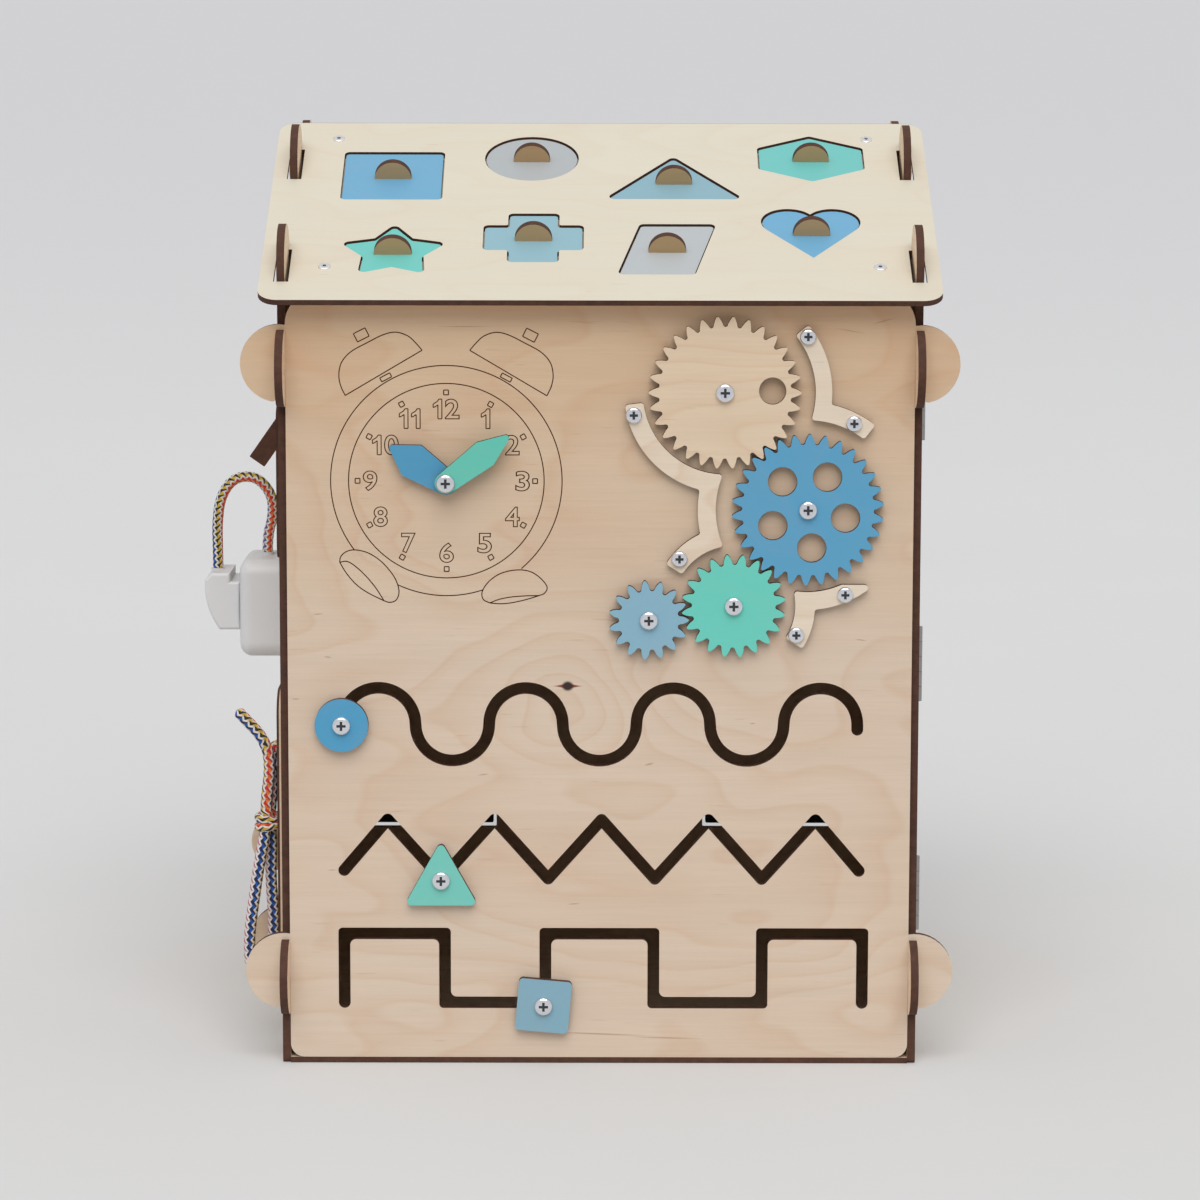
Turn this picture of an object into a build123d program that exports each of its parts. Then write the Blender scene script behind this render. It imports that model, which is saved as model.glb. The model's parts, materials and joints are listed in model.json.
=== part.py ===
from build123d import *
from math import acos, atan2, cos, degrees, pi, radians, sin, sqrt, tan
import os

# Wooden house-shaped activity box. +X is to the right seen from the front, +Y to the back, +Z up.
# The origin is the centre of the floor's underside. Millimetres and degrees.

# ---- sheet stock and fits
ply = 4.0                  # walls, gears, hands, strips, caps
thin_ply = 3.0             # roof, floor and sorter tray
fit = 0.1                  # gap between sheets that slide into each other
running_fit = 0.06         # radial gap of a part that turns on its screw

# ---- house
inner_width = 314.8        # between the side walls
depth = 320.0              # outer face of the front wall to outer face of the back wall
wall_height = 393.9        # underside of the roof above the outer face of the front wall
roof_slope = 25.5
roof_overhang = 14.0
roof_width = 340.6
roof_corner = 10.0
wall_corner = 7.0
wall_top_corner = 16.0
foot_corner = 2.5
floor_tab = 40.0
floor_tab_at = 80.0

# ---- half-round lugs that lock the sheets together
lug_radius = 19.5
wall_lug_reach = 3.0       # how far the lug centre of a front wall lies beyond the inner width
wall_lug_heights = (48.0, wall_height - 36.0)
side_lug_heights = (45.4, wall_height - 38.3)
lap_drop = 1.0             # the lap joint sits this far below the middle of the wall's lug
lug_tip = 2.5
roof_lug_at = (38.0, 147.0)  # along the slope from the eave
roof_slot_length = 33.2
roof_slot_width = 7.5

# ---- shape sorter in the front roof
insert_ply = 2.4
insert_gap = 0.85
insert_corner = 2.0
knob_radius = 9.5
knob_tenon = 12.0
square_side = 51.0
circle_diameter = 47.5
triangle_base = 69.5
triangle_height = 45.0
triangle_knob = 19.0       # height of the knob above the triangle's base
hexagon_width = 54.0
hexagon_height = 49.0
hexagon_side = 22.5
star_radius = 27.0
star_inner_radius = 15.6
plus_span = 49.5
plus_arm = 24.5
rhomb_width = 37.4
rhomb_height = 51.0
rhomb_lean = 11.2
heart_lobe = 13.2
heart_lobe_out = 11.4
heart_lobe_up = 11.0
heart_tip = 25.5
insert_places = {
    "square": (-108.0, 131.6), "circle": (-36.0, 150.8),
    "triangle": (38.1, 126.0), "hexagon": (110.2, 151.3),
    "star": (-104.8, 50.2), "plus": (-34.0, 64.6),
    "rhomb": (33.8, 52.8), "heart": (107.4, 70.6),
}
insert_lift = 30.0
tray_width = 296.0
tray_low = 25.0
tray_high = 181.0
tray_shift = 1.0
rivet_inset = 8.6          # from the tray's edges
rivet_flange = 3.25
rivet_flange_height = 0.9
rivet_crown = 0.7          # share of the flange's height that is rounded
rivet_shank = 1.6
rivet_hollow = 1.0         # the rivets are tubes
rivet_upset = 2.6          # radius of the closed end under the tray

# ---- screws
screw_head = 4.7
screw_head_height = 2.6
screw_shank = 2.44
small_head = 4.1
small_head_height = 2.3
small_shank = 1.95
screw_crown = 0.6          # share of a head's height that is rounded
cross_width = 1.3
cross_depth = 1.3
washer_radius = 5.2
washer_height = 1.0
nut_across = 8.0
nut_height = 3.6
shank_over = 2.0           # thread that stands out behind a nut
end_play = 0.15            # between a screw's head and what turns under it
strip_screw_short = 0.5    # a strip's screw ends this far inside the wall's back face

# ---- gear train
gear_module = 2.4
gear_addendum = 2.05
gear_dedendum = 3.1
gear_pressure_angle = 27.0
gear_backlash = 0.6
gear_crown = 0.25          # the rounded part of a tooth above its flanks
gear_root_round = 1.0      # depth of the round bottom between two teeth
plain_turn = 0.0           # direction of one tooth of the plain gear
plain_teeth = 30
blue_teeth = 30
teal_teeth = 20
small_teeth = 15
plain_centre = (62.3, wall_height - 49.9)
blue_bearing = -54.6       # direction from one gear to the next, from +X towards +Z
teal_bearing = -127.2
small_bearing = -170.3
blue_play = 0.15           # added to the ideal centre distance
teal_play = 1.0
small_play = 1.2
plain_hole_radius = 6.8
plain_hole_at = 23.7
plain_hole_angle = 2.3
blue_hole_radius = 7.4
blue_hole_at = 19.2
blue_hole_count = 5
blue_hole_turn = 132.0

# ---- guide strips: bands that follow the gears, each (gear, gap to its teeth, width, from, to), which
# overlap where they meet, and screws, each (gear, angle, distance from the gear's centre)
guide_strips = {
    "left": ([("plain", 3.0, 9.2, 187.2, 275.0), ("blue", 8.1, 9.0, 150.0, 212.0),
              ("teal", 4.4, 9.6, 92.0, 148.3)], [("plain", 194.0, 46.9), ("teal", 139.0, 36.2)]),
    "top": ([("plain", 7.2, 8.2, -24.0, 39.3), ("blue", 7.0, 9.0, 52.0, 95.0)],
            [("plain", 34.2, 49.8), ("blue", 62.4, 49.0)]),
    "low": ([("blue", 3.5, 9.0, -106.0, -52.0), ("teal", 4.9, 9.9, -32.1, 21.0)],
            [("blue", -66.0, 46.9), ("teal", -25.0, 34.8)]),
}
strip_corner = 1.5
low_strip_flat = 37.8      # the top of the low strip is flat this far below the blue gear's centre

# ---- clock
clock_centre = (-77.1, wall_height - 95.1)
hour_length = 33.3
hour_half_width = 8.9
hour_belly = 20.0
hour_boss = 6.2
hour_angle = 147.0
minute_length = 39.3
minute_half_width = 7.0
minute_belly = 24.5
minute_boss = 5.4
minute_angle = 37.0
hand_tip = 1.6

# ---- grooves cut through the front wall, and the sliders in them
groove_width = 6.0
wave_mid = 0.4453 * wall_height
wave_radius = 18.6
wave_arcs = 7                # half circles between one end and the other
wave_tail = 2.5
zigzag_centre = 1.1
zigzag_low = 95.9
zigzag_high = 126.4
zigzag_pitch = 54.2
zigzag_end = 130.6
zigzag_end_height = 100.2
meander_start = -129.7
meander_steps = (51.2, 51.1, 55.0, 55.2, 51.1)
meander_low = 31.6
meander_high = 67.4
meander_inner_corner = 3.0
meander_outer_corner = 2.2
slider_shank = 1.95
slider_gap = 0.6           # between the wall and a cap or the washer behind
slider_washer = 6.5
slider_washer_height = 1.5
round_cap_radius = 13.5
triangle_cap_base = 37.5
triangle_cap_height = 33.4
triangle_cap_screw = 13.0
square_cap_side = 27.0
square_cap_turn = -5.0
square_cap_rest = (-0.9, -0.8)   # from the groove's middle line
cap_corner = 2.2

# ---- lever and its plate on the left wall
lever_plate_length = 80.0
lever_plate_height = 78.0
lever_plate_corner = 8.0
lever_plate_y = -80.0
lever_plate_z = 293.0
lever_thickness = 9.4
lever_width = 16.0
lever_length = 25.0
lever_pivot_z = 321.3
lever_slot_below = 11.8
lever_slot_above = 7.8
lever_rest_angle = 55.0    # below the horizontal
lever_pin = 1.5
lever_edge = 0.5
lever_pin_seat = 5.0
lever_side_gap = 0.4

# ---- socket, plug and its cord on the left wall
socket_y = -50.0
socket_z = 221.8
socket_side = 51.4
socket_depth = 27.4
socket_corner = 8.0
socket_edge = 6.2
socket_face = 19.0         # radius of the round recess
socket_recess = 1.2
plug_pin_radius = 2.35
plug_pin_length = 18.0
plug_pin_seat = 8.0        # length of a pin inside the plug's body
plug_pin_spacing = 19.0
pin_play = 0.09
pin_room = 1.0             # a pin hole is this much deeper than the pin is long
plug_length = 36.0         # along the wall
plug_depth = 18.5          # out from the socket
plug_above = 13.4          # above the middle of the socket
plug_below = 12.0
plug_collar = 18.0         # top of the collar under the cord, above the middle of the socket
plug_collar_step = 5.2     # the collar starts this far out from the socket
plug_collar_bevel = 3.7
plug_tail = 7.5            # the bottom is this much shorter than the top
plug_back = (16.6, -1.2)     # out from the socket and above its middle, on the rounded back
plug_edge = 1.6
plug_gland_top = 240.4
plug_travel = 30.0
gland_radius = 3.6
gland_x = -175.6
gland_top = 249.0
bend_share = 0.45
cord_diameter = 5.6
cord_points = [
    (-201.9, -50.0, 240.45), (-201.9, -50.0, 250.0), (-202.1, -50.3, 264.0), (-200.2, -50.6, 278.4),
    (-192.9, -51.0, 288.6), (-181.0, -51.2, 289.2), (-172.8, -51.0, 279.6), (-172.6, -50.6, 267.6),
    (-175.6, -50.0, 257.6), (-175.6, -50.0, 249.05),
]

# ---- lacing board and laces on the left wall
board_y = -103.0
board_length = 58.0
board_top = 187.0
board_bottom = 40.0
board_corner = 14.0
eyelet_radius = 4.0
eyelet_heights = (62.0, 94.0, 126.0, 158.0)
eyelet_spread = 15.0
cleat_radius = 15.4
cleat_heights = (54.5, 104.5)
lace_diameter = 5.0
lace_end_radius = 3.2
lace_tip_length = 9.0
lace_tip_taper = 0.3         # radius at the far end, as a share of the near one
lace_knot_length = 5.0
lace_knot_taper = 0.8
lace_knot_radius = 5.4     # of the knot that ties the two laces together
lace_knot_place = (-171.1, -122.6, 117.8)
lace_long_points = [
    (-186.2, -127.0, 176.8), (-179.6, -126.6, 170.0), (-173.6, -126.0, 163.0), (-170.0, -125.4, 154.5),
    (-169.6, -125.0, 144.5), (-171.0, -125.0, 134.0), (-171.8, -125.2, 123.5), (-172.2, -125.8, 112.5),
    (-174.6, -126.4, 100.5), (-176.6, -126.8, 88.5), (-178.4, -127.0, 76.5), (-180.0, -127.0, 65.0),
    (-181.0, -126.6, 54.0), (-180.4, -126.0, 43.0),
]
lace_short_points = [
    (-161.5, -118.0, 157.8), (-167.9, -118.0, 157.8), (-169.9, -118.4, 149.5), (-168.6, -118.8, 139.5),
    (-169.4, -119.2, 129.0), (-170.2, -119.6, 118.0), (-169.2, -120.0, 106.5), (-169.9, -120.2, 95.0),
    (-169.7, -120.3, 84.0), (-168.9, -120.2, 73.0), (-168.6, -120.0, 62.0), (-169.2, -119.6, 51.0),
]

# ---- doors in the right wall
door_length = 232.0
door_height = 92.0
door_heights = (80.0, 0.508 * wall_height, wall_height - 58.9)
door_names = ("bottom", "middle", "top")
door_gap = 1.0
door_corner = 3.0
finger_hole = 11.0
finger_hole_from_end = 22.0
hinge_y = -117.0
hinge_height = 38.8
leaf_width = 15.0
leaf_thickness = 1.0
leaf_clear = 2.8           # a leaf stays this far from the pin, beside its own knuckle
knuckle_radius = 2.2
hinge_pin_radius = 1.1
hinge_bore_play = 0.05
knuckle_count = 5
knuckle_gap = 0.2
knuckle_lift = 0.1

# ---- windows in the back wall, closed by boards behind them
window_inner = 60.0
window_width = 76.0
window_low = 60.6
window_height = 34.0
window_corner = 1.0
board_inner_gap = 1.8
board_low_gap = 1.8
board_lap = 8.0

# ---- worked out
half_in = inner_width / 2
half_out = half_in + ply
half_depth = depth / 2
slope = radians(roof_slope)
eave_z = wall_height + thin_ply / cos(slope) - roof_overhang * tan(slope)
ridge_gap = thin_ply * sin(slope) + fit / 2
roof_length = (half_depth + roof_overhang - ridge_gap) / cos(slope)
side_edge = half_depth - ply - fit / 2    # front edge of a side wall, just behind the front wall
floor_top = thin_ply + fit / 2
wall_top = wall_height - 2 * fit
wall_edge = half_in - fit
lug_x = half_in + wall_lug_reach
lap_heights = [height - lap_drop for height in side_lug_heights]
board_face = half_out + ply               # outer face of the lever's plate and of the lacing board
turning_out = washer_height + fit / 2     # how far out of the wall the gears and hands turn

to_roof = Plane(origin=(0, -half_depth - roof_overhang, eave_z), x_dir=(1, 0, 0),
                z_dir=(0, -sin(slope), cos(slope))).location   # x right, y up the slope, z out
to_front = Plane.XZ.offset(half_depth).location                # x right, y up, z out
to_left = Plane(origin=(-half_out, 0, 0), x_dir=(0, -1, 0), z_dir=(-1, 0, 0)).location
turn_round = Rot(0, 0, 180)
parts = {}


def along(start, angle, distance):
    return (start[0] + distance * cos(radians(angle)), start[1] + distance * sin(radians(angle)))


def rectangle(x0, x1, y0, y1):
    return Pos((x0 + x1) / 2, (y0 + y1) / 2) * Rectangle(abs(x1 - x0), abs(y1 - y0))


def cuboid(x0, x1, y0, y1, z0, z1):
    return Pos((x0 + x1) / 2, (y0 + y1) / 2, (z0 + z1) / 2) * Box(abs(x1 - x0), abs(y1 - y0), abs(z1 - z0))


def from_side(sketch, left_x, thickness):
    """Sheet cut from an outline in Y and Z, with its left face at left_x."""
    return extrude(Plane.YZ.offset(left_x) * sketch, amount=thickness)


def on_front(solid, centre=(0, 0), out=0.0):
    """Place something made along +Z at centre (X, Z), this far out of the front wall."""
    return to_front * Pos(centre[0], centre[1], out) * solid


def on_left(solid, centre, out=0.0):
    """Place something made along +Z at centre (Y, Z), this far out of the left wall."""
    return to_left * Pos(-centre[0], centre[1], out) * solid


def at_vertices(shape, x, y):
    """The outline's corners at |x| and y, to be rounded."""
    return [v for v in shape.vertices() if abs(abs(v.X) - x) < fit / 2 and abs(v.Y - y) < fit / 2]


def vertices_near(shape, spots):
    return [v for v in shape.vertices() if any(abs(v.X - x) + abs(v.Y - y) < fit for x, y in spots)]


def arc_band(centre, radius, width, start, end):
    """Curved band of constant width with round ends, from one angle to another."""
    middle = (start + end) / 2
    outer, inner = radius + width / 2, radius - width / 2
    tip = along(along(centre, end, radius), end + 90, width / 2)
    tail = along(along(centre, start, radius), start - 90, width / 2)
    return make_face([
        ThreePointArc(along(centre, start, outer), along(centre, middle, outer), along(centre, end, outer)),
        ThreePointArc(along(centre, end, outer), tip, along(centre, end, inner)),
        ThreePointArc(along(centre, end, inner), along(centre, middle, inner), along(centre, start, inner)),
        ThreePointArc(along(centre, start, inner), tail, along(centre, start, outer)),
    ])


def sector(centre, inner, outer, start, end):
    """Part of a ring, cut off square at both angles."""
    middle = (start + end) / 2
    return make_face([
        ThreePointArc(along(centre, start, outer), along(centre, middle, outer), along(centre, end, outer)),
        Line(along(centre, end, outer), along(centre, end, inner)),
        ThreePointArc(along(centre, end, inner), along(centre, middle, inner), along(centre, start, inner)),
        Line(along(centre, start, inner), along(centre, start, outer)),
    ])


def straight_band(start, end, width):
    """Straight band with round ends."""
    run = Vector(*end) - Vector(*start)
    place = Pos((start[0] + end[0]) / 2, (start[1] + end[1]) / 2)
    return place * Rot(0, 0, degrees(atan2(run.Y, run.X))) * SlotCenterToCenter(run.length, width)


# ---- fasteners, made along +Z from the face that they seat on

def pan_screw(head, head_height, shank, length):
    """Pan head with a cross recess above z = 0, and a plain shank below."""
    cap = Pos(0, 0, head_height / 2) * Cylinder(head, head_height)
    cap = fillet(cap.edges().sort_by(Axis.Z)[-1], screw_crown * head_height)
    cross = Box(head, cross_width, 2 * cross_depth) + Box(cross_width, head, 2 * cross_depth)
    return cap - Pos(0, 0, head_height) * cross + Pos(0, 0, -length / 2) * Cylinder(shank, length)


def ring(outer, inner, height):
    return Pos(0, 0, height / 2) * (Cylinder(outer, height) - Cylinder(inner, height))


def hex_nut(inner):
    body = extrude(RegularPolygon(nut_across / 2, 6, major_radius=False), amount=nut_height)
    return body - Pos(0, 0, nut_height / 2) * Cylinder(inner, 2 * nut_height)


# ---- gears

def gear_flank(teeth):
    """Involute flank about angle 0, as (radius, angle) at its foot, middle and head."""
    pitch = gear_module * teeth / 2
    base = pitch * cos(radians(gear_pressure_angle))
    half = (pi * gear_module / 2 - gear_backlash) / (2 * pitch)
    spread = tan(radians(gear_pressure_angle)) - radians(gear_pressure_angle)
    foot = max(base, pitch - gear_dedendum + gear_root_round)
    head = pitch + gear_addendum - gear_crown
    flank = []
    for radius in (foot, (foot + head) / 2, head):
        roll = acos(min(1, base / radius))
        flank.append((radius, degrees(half + spread - (tan(roll) - roll))))
    return flank


def gear_outline(teeth, turn):
    """Teeth with involute flanks, rounded crowns and round bottoms between them."""
    flank = gear_flank(teeth)
    pitch = gear_module * teeth / 2
    edges = []
    for tooth in range(teeth):
        at = turn + 360 * tooth / teeth
        rising = [along((0, 0), at - angle, radius) for radius, angle in flank]
        falling = [along((0, 0), at + angle, radius) for radius, angle in reversed(flank)]
        crown = along((0, 0), at, pitch + gear_addendum)
        bottom = along((0, 0), at + 180 / teeth, pitch - gear_dedendum)
        following = along((0, 0), at + 360 / teeth - flank[0][1], flank[0][0])
        edges += [ThreePointArc(*rising), ThreePointArc(rising[-1], crown, falling[0]),
                  ThreePointArc(*falling), ThreePointArc(falling[-1], bottom, following)]
    return make_face(edges)


def meshing_turn(turn, teeth, bearing, next_teeth):
    """Turn of the next gear, so that its gap faces the tooth of this one."""
    return bearing + 180 + (teeth * (bearing - turn) + 180) / next_teeth


def next_centre(centre, teeth, bearing, next_teeth, play):
    return along(centre, bearing, gear_module * (teeth + next_teeth) / 2 + play)


gear_teeth = {"plain": plain_teeth, "blue": blue_teeth, "teal": teal_teeth, "small": small_teeth}
gear_centres = {"plain": plain_centre}
gear_turns = {"plain": plain_turn}
for this, following, bearing, play in (("plain", "blue", blue_bearing, blue_play),
                                       ("blue", "teal", teal_bearing, teal_play),
                                       ("teal", "small", small_bearing, small_play)):
    here, there = gear_teeth[this], gear_teeth[following]
    gear_centres[following] = next_centre(gear_centres[this], here, bearing, there, play)
    gear_turns[following] = meshing_turn(gear_turns[this], here, bearing, there)

gear_outlines = {name: gear_outline(gear_teeth[name], gear_turns[name]) - Circle(screw_shank + running_fit)
                 for name in gear_teeth}
gear_outlines["plain"] -= Pos(*along((0, 0), plain_hole_angle, plain_hole_at)) * Circle(plain_hole_radius)
for hole in range(blue_hole_count):
    spot = along((0, 0), blue_hole_turn + 360 * hole / blue_hole_count, blue_hole_at)
    gear_outlines["blue"] -= Pos(*spot) * Circle(blue_hole_radius)
for name, shape in gear_outlines.items():
    parts["gear_" + name] = on_front(extrude(shape, amount=ply), gear_centres[name], turning_out)

# ---- guide strips and their screws
strip_screws = []
for name, (bands, screws) in guide_strips.items():
    spots = [along(gear_centres[gear], angle, distance) for gear, angle, distance in screws]
    insides = {gear: gear_module * gear_teeth[gear] / 2 + gear_addendum + gap for gear, gap, *rest in bands}
    shape = Sketch() + [sector(gear_centres[gear], insides[gear], insides[gear] + width, start, end)
                        for gear, gap, width, start, end in bands]
    shape -= [Pos(*gear_centres[gear]) * Circle(radius) for gear, radius in insides.items()]
    if name == "low":
        shape -= Pos(*gear_centres["blue"]) * rectangle(0, 2 * insides["blue"], -low_strip_flat, 0)
    shape = fillet(shape.vertices(), strip_corner)
    shape -= Sketch() + [Pos(*spot) * Circle(small_shank + fit / 2) for spot in spots]
    parts["guide_strip_" + name] = on_front(extrude(shape, amount=ply))
    strip_screws += spots
strip_screw = pan_screw(small_head, small_head_height, small_shank, 2 * ply - strip_screw_short)
parts["strip_screws"] = Compound([on_front(strip_screw, spot, ply) for spot in strip_screws])

# ---- clock hands

def hand(length, half_width, belly, boss, angle):
    """Leaf-shaped hand: widest at the belly, with a round boss on its screw and a blunt tip."""
    rounds = [Circle(boss), Pos(length - hand_tip, 0) * Circle(hand_tip)]
    rounds += [Pos(belly, s * (half_width - hand_tip)) * Circle(hand_tip) for s in (-1, 1)]
    leaf = make_hull([edge for shape in rounds for edge in shape.edges()])
    return extrude(Rot(0, 0, angle) * leaf - Circle(screw_shank + running_fit), amount=ply)


minute_out = turning_out + ply + fit
parts["clock_hour_hand"] = on_front(hand(hour_length, hour_half_width, hour_belly, hour_boss, hour_angle),
                                    clock_centre, turning_out)
parts["clock_minute_hand"] = on_front(hand(minute_length, minute_half_width, minute_belly, minute_boss,
                                           minute_angle), clock_centre, minute_out)

# ---- the screws that the gears and hands turn on, each with a washer and a nut
pivots = [(centre, turning_out + ply + end_play) for centre in gear_centres.values()]
pivots.append((clock_centre, minute_out + ply + end_play))
behind_wall = ply + nut_height + shank_over
pivot_washer = ring(washer_radius, screw_shank + fit / 2, washer_height)
pivot_nut = hex_nut(screw_shank + fit / 2)
pivot_bolts = []
for centre, seat in pivots:
    screw = pan_screw(screw_head, screw_head_height, screw_shank, seat + behind_wall)
    pivot_bolts.append(on_front(screw, centre, seat))
    pivot_bolts.append(on_front(pivot_washer, centre))
    pivot_bolts.append(on_front(pivot_nut, centre, -ply - nut_height))
parts["pivot_bolts"] = Compound(pivot_bolts)

# ---- grooves in the front wall
zigzag_corners = [(zigzag_centre - zigzag_end, zigzag_end_height)]
for step in range(-4, 5):
    corner_z = zigzag_high if step % 2 == 0 else zigzag_low
    zigzag_corners.append((zigzag_centre + step * zigzag_pitch / 2, corner_z))
zigzag_corners.append((zigzag_centre + zigzag_end, zigzag_end_height))
meander_x = [meander_start]
for step in meander_steps:
    meander_x.append(meander_x[-1] + step)


def wave_groove():
    shape = Sketch()
    left = -wave_arcs * wave_radius
    for arc in range(wave_arcs):
        centre = (left + (2 * arc + 1) * wave_radius, wave_mid)
        start = 0 if arc % 2 == 0 else 180
        shape += arc_band(centre, wave_radius, groove_width, start, start + 180)
    for x in (left, -left):
        shape += straight_band((x, wave_mid), (x, wave_mid - wave_tail), groove_width)
    return shape


def meander_groove():
    """Straight runs between the low and the high level, rounded outside and inside each turn."""
    half = groove_width / 2
    shape = Sketch() + [Pos(x, meander_low) * Circle(half) for x in (meander_x[0], meander_x[-1])]
    for x in meander_x:
        shape += rectangle(x - half, x + half, meander_low, meander_high)
    outer, inner = [], []
    for number, (x0, x1) in enumerate(zip(meander_x, meander_x[1:])):
        rise = 1 if number % 2 == 0 else -1
        level = meander_high if rise == 1 else meander_low
        shape += rectangle(x0 - half, x1 + half, level - half, level + half)
        outer += [(x0 - half, level + rise * half), (x1 + half, level + rise * half)]
        inner += [(x0 + half, level - rise * half), (x1 - half, level - rise * half)]
    shape = fillet(vertices_near(shape, outer), meander_outer_corner)
    return fillet(vertices_near(shape, inner), meander_inner_corner)


# ---- walls

def wall_outline():
    """Front or back wall, with a half-round lug at each corner that is slotted from below."""
    shape = rectangle(-wall_edge, wall_edge, floor_top, wall_top)
    shape = fillet(shape.vertices().group_by(Axis.Y)[-1], wall_top_corner)
    shape = fillet(shape.vertices().group_by(Axis.Y)[0], wall_corner)
    slot_outer = half_out + fit
    for height, lap in zip(wall_lug_heights, lap_heights):
        foot = height - sqrt(lug_radius**2 - (slot_outer - lug_x)**2)
        for hand in (-1, 1):
            lug = Pos(hand * lug_x, height) * Circle(lug_radius)
            lug -= rectangle(hand * wall_edge, hand * slot_outer, height - lug_radius - 1, lap + fit / 2)
            shape += fillet(at_vertices(lug, slot_outer, foot), lug_tip)
    return shape


def side_outline():
    """Side wall in Y and Z: gable, lugs through the front and back walls, lugs through the roof."""
    gable_foot = wall_height + (half_depth - side_edge) * tan(slope) - fit
    gable_peak = wall_height + half_depth * tan(slope) - fit
    half = make_face(Polyline((0, 0), (-side_edge, 0), (-side_edge, gable_foot), (0, gable_peak), close=True))
    foot = rectangle(-half_depth, -side_edge + 1, 0, side_lug_heights[0] - lug_radius / 2)
    half += fillet(at_vertices(foot, half_depth, 0), foot_corner)
    slot_outer = half_depth + fit
    for height, lap in zip(side_lug_heights, lap_heights):
        lug = Pos(-half_depth, height) * Circle(lug_radius)
        lug -= rectangle(-slot_outer, -side_edge, lap - fit / 2, height + lug_radius + 1)
        tip = height + sqrt(lug_radius**2 - fit**2)
        half += fillet(at_vertices(lug, slot_outer, tip), lug_tip)
    to_slope = Pos(-half_depth - roof_overhang, eave_z) * Rot(0, 0, roof_slope)
    for at in roof_lug_at:
        lug = Pos(at, 0) * Circle(lug_radius) & rectangle(at - lug_radius, at + lug_radius, fit, lug_radius)
        lug = fillet(lug.vertices().sort_by(Axis.X)[-1], lug_tip)
        neck = rectangle(at - lug_radius + fit, at - lug_radius + roof_slot_length - fit, -2 * ply, fit)
        half += to_slope * (lug + neck)
    shape = half + mirror(half, about=Plane.YZ)
    for hand in (-1, 1):
        tab = hand * floor_tab_at
        shape -= rectangle(tab - floor_tab / 2 - fit, tab + floor_tab / 2 + fit, -1, thin_ply + fit)
    return shape


front_outline = wall_outline() - wave_groove() - meander_groove()
for start, end in zip(zigzag_corners, zigzag_corners[1:]):
    front_outline -= straight_band(start, end, groove_width)
for centre, seat in pivots:
    front_outline -= Pos(*centre) * Circle(screw_shank + fit / 2)
for spot in strip_screws:
    front_outline -= Pos(*spot) * Circle(small_shank + fit / 2)
parts["front_wall"] = on_front(extrude(front_outline, amount=ply), out=-ply)

back_outline = wall_outline()
for hand in (-1, 1):
    middle_x = hand * (window_inner + window_width / 2)
    back_outline -= Pos(middle_x, window_low + window_height / 2) * RectangleRounded(
        window_width, window_height, window_corner)
parts["back_wall"] = turn_round * on_front(extrude(back_outline, amount=ply), out=-ply)
board_wide = window_width + board_lap - board_inner_gap
board_high = window_height + board_lap - board_low_gap
window_board = extrude(RectangleRounded(board_wide, board_high, window_corner), amount=ply)
board_middle_x = window_inner + board_inner_gap + board_wide / 2
board_middle_z = window_low + board_low_gap + board_high / 2
parts["window_boards"] = turn_round * Compound([
    on_front(window_board, (hand * board_middle_x, board_middle_z), fit / 2) for hand in (-1, 1)])

floor_outline = rectangle(-wall_edge, wall_edge, -half_depth, half_depth)
for hand in (-1, 1):
    tab = hand * floor_tab_at
    floor_outline += rectangle(-half_out, half_out, tab - floor_tab / 2, tab + floor_tab / 2)
parts["floor_panel"] = extrude(floor_outline, amount=thin_ply)

# ---- roof, sorter tray and rivets

def roof_outline():
    shape = Pos(0, roof_length / 2) * RectangleRounded(roof_width, roof_length, roof_corner)
    for at in roof_lug_at:
        low = at - lug_radius
        for hand in (-1, 1):
            x = hand * (half_in + ply / 2)
            shape -= rectangle(x - roof_slot_width / 2, x + roof_slot_width / 2, low, low + roof_slot_length)
    return shape


def heart(grow):
    """Two round lobes and the straight sides that run from them to the tip."""
    lobe = heart_lobe + grow
    tip = (0, -heart_tip - grow * sqrt(2))
    across, up = heart_lobe_out, heart_lobe_up - tip[1]
    reach = sqrt(across**2 + up**2)
    touch_angle = degrees(atan2(-up, -across)) + degrees(acos(lobe / reach))
    touch = along((heart_lobe_out, heart_lobe_up), touch_angle, lobe)
    body = make_face(Polyline(tip, touch, (heart_lobe_out, heart_lobe_up), (-heart_lobe_out, heart_lobe_up),
                              (-touch[0], touch[1]), close=True))
    return body + [Pos(hand * heart_lobe_out, heart_lobe_up) * Circle(lobe) for hand in (-1, 1)]


def rounded(points):
    shape = make_face(Polyline(*points, close=True))
    return fillet(shape.vertices(), insert_corner)


def star_points():
    return [along((0, 0), 90 + 36 * n, star_radius if n % 2 == 0 else star_inner_radius) for n in range(10)]


def plus_points():
    long, short = plus_span / 2, plus_arm / 2
    arm = [(long, -short), (long, short), (short, short)]
    return [(x * cos(q) - y * sin(q), x * sin(q) + y * cos(q))
            for q in (0, pi / 2, pi, 3 * pi / 2) for x, y in arm]


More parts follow.
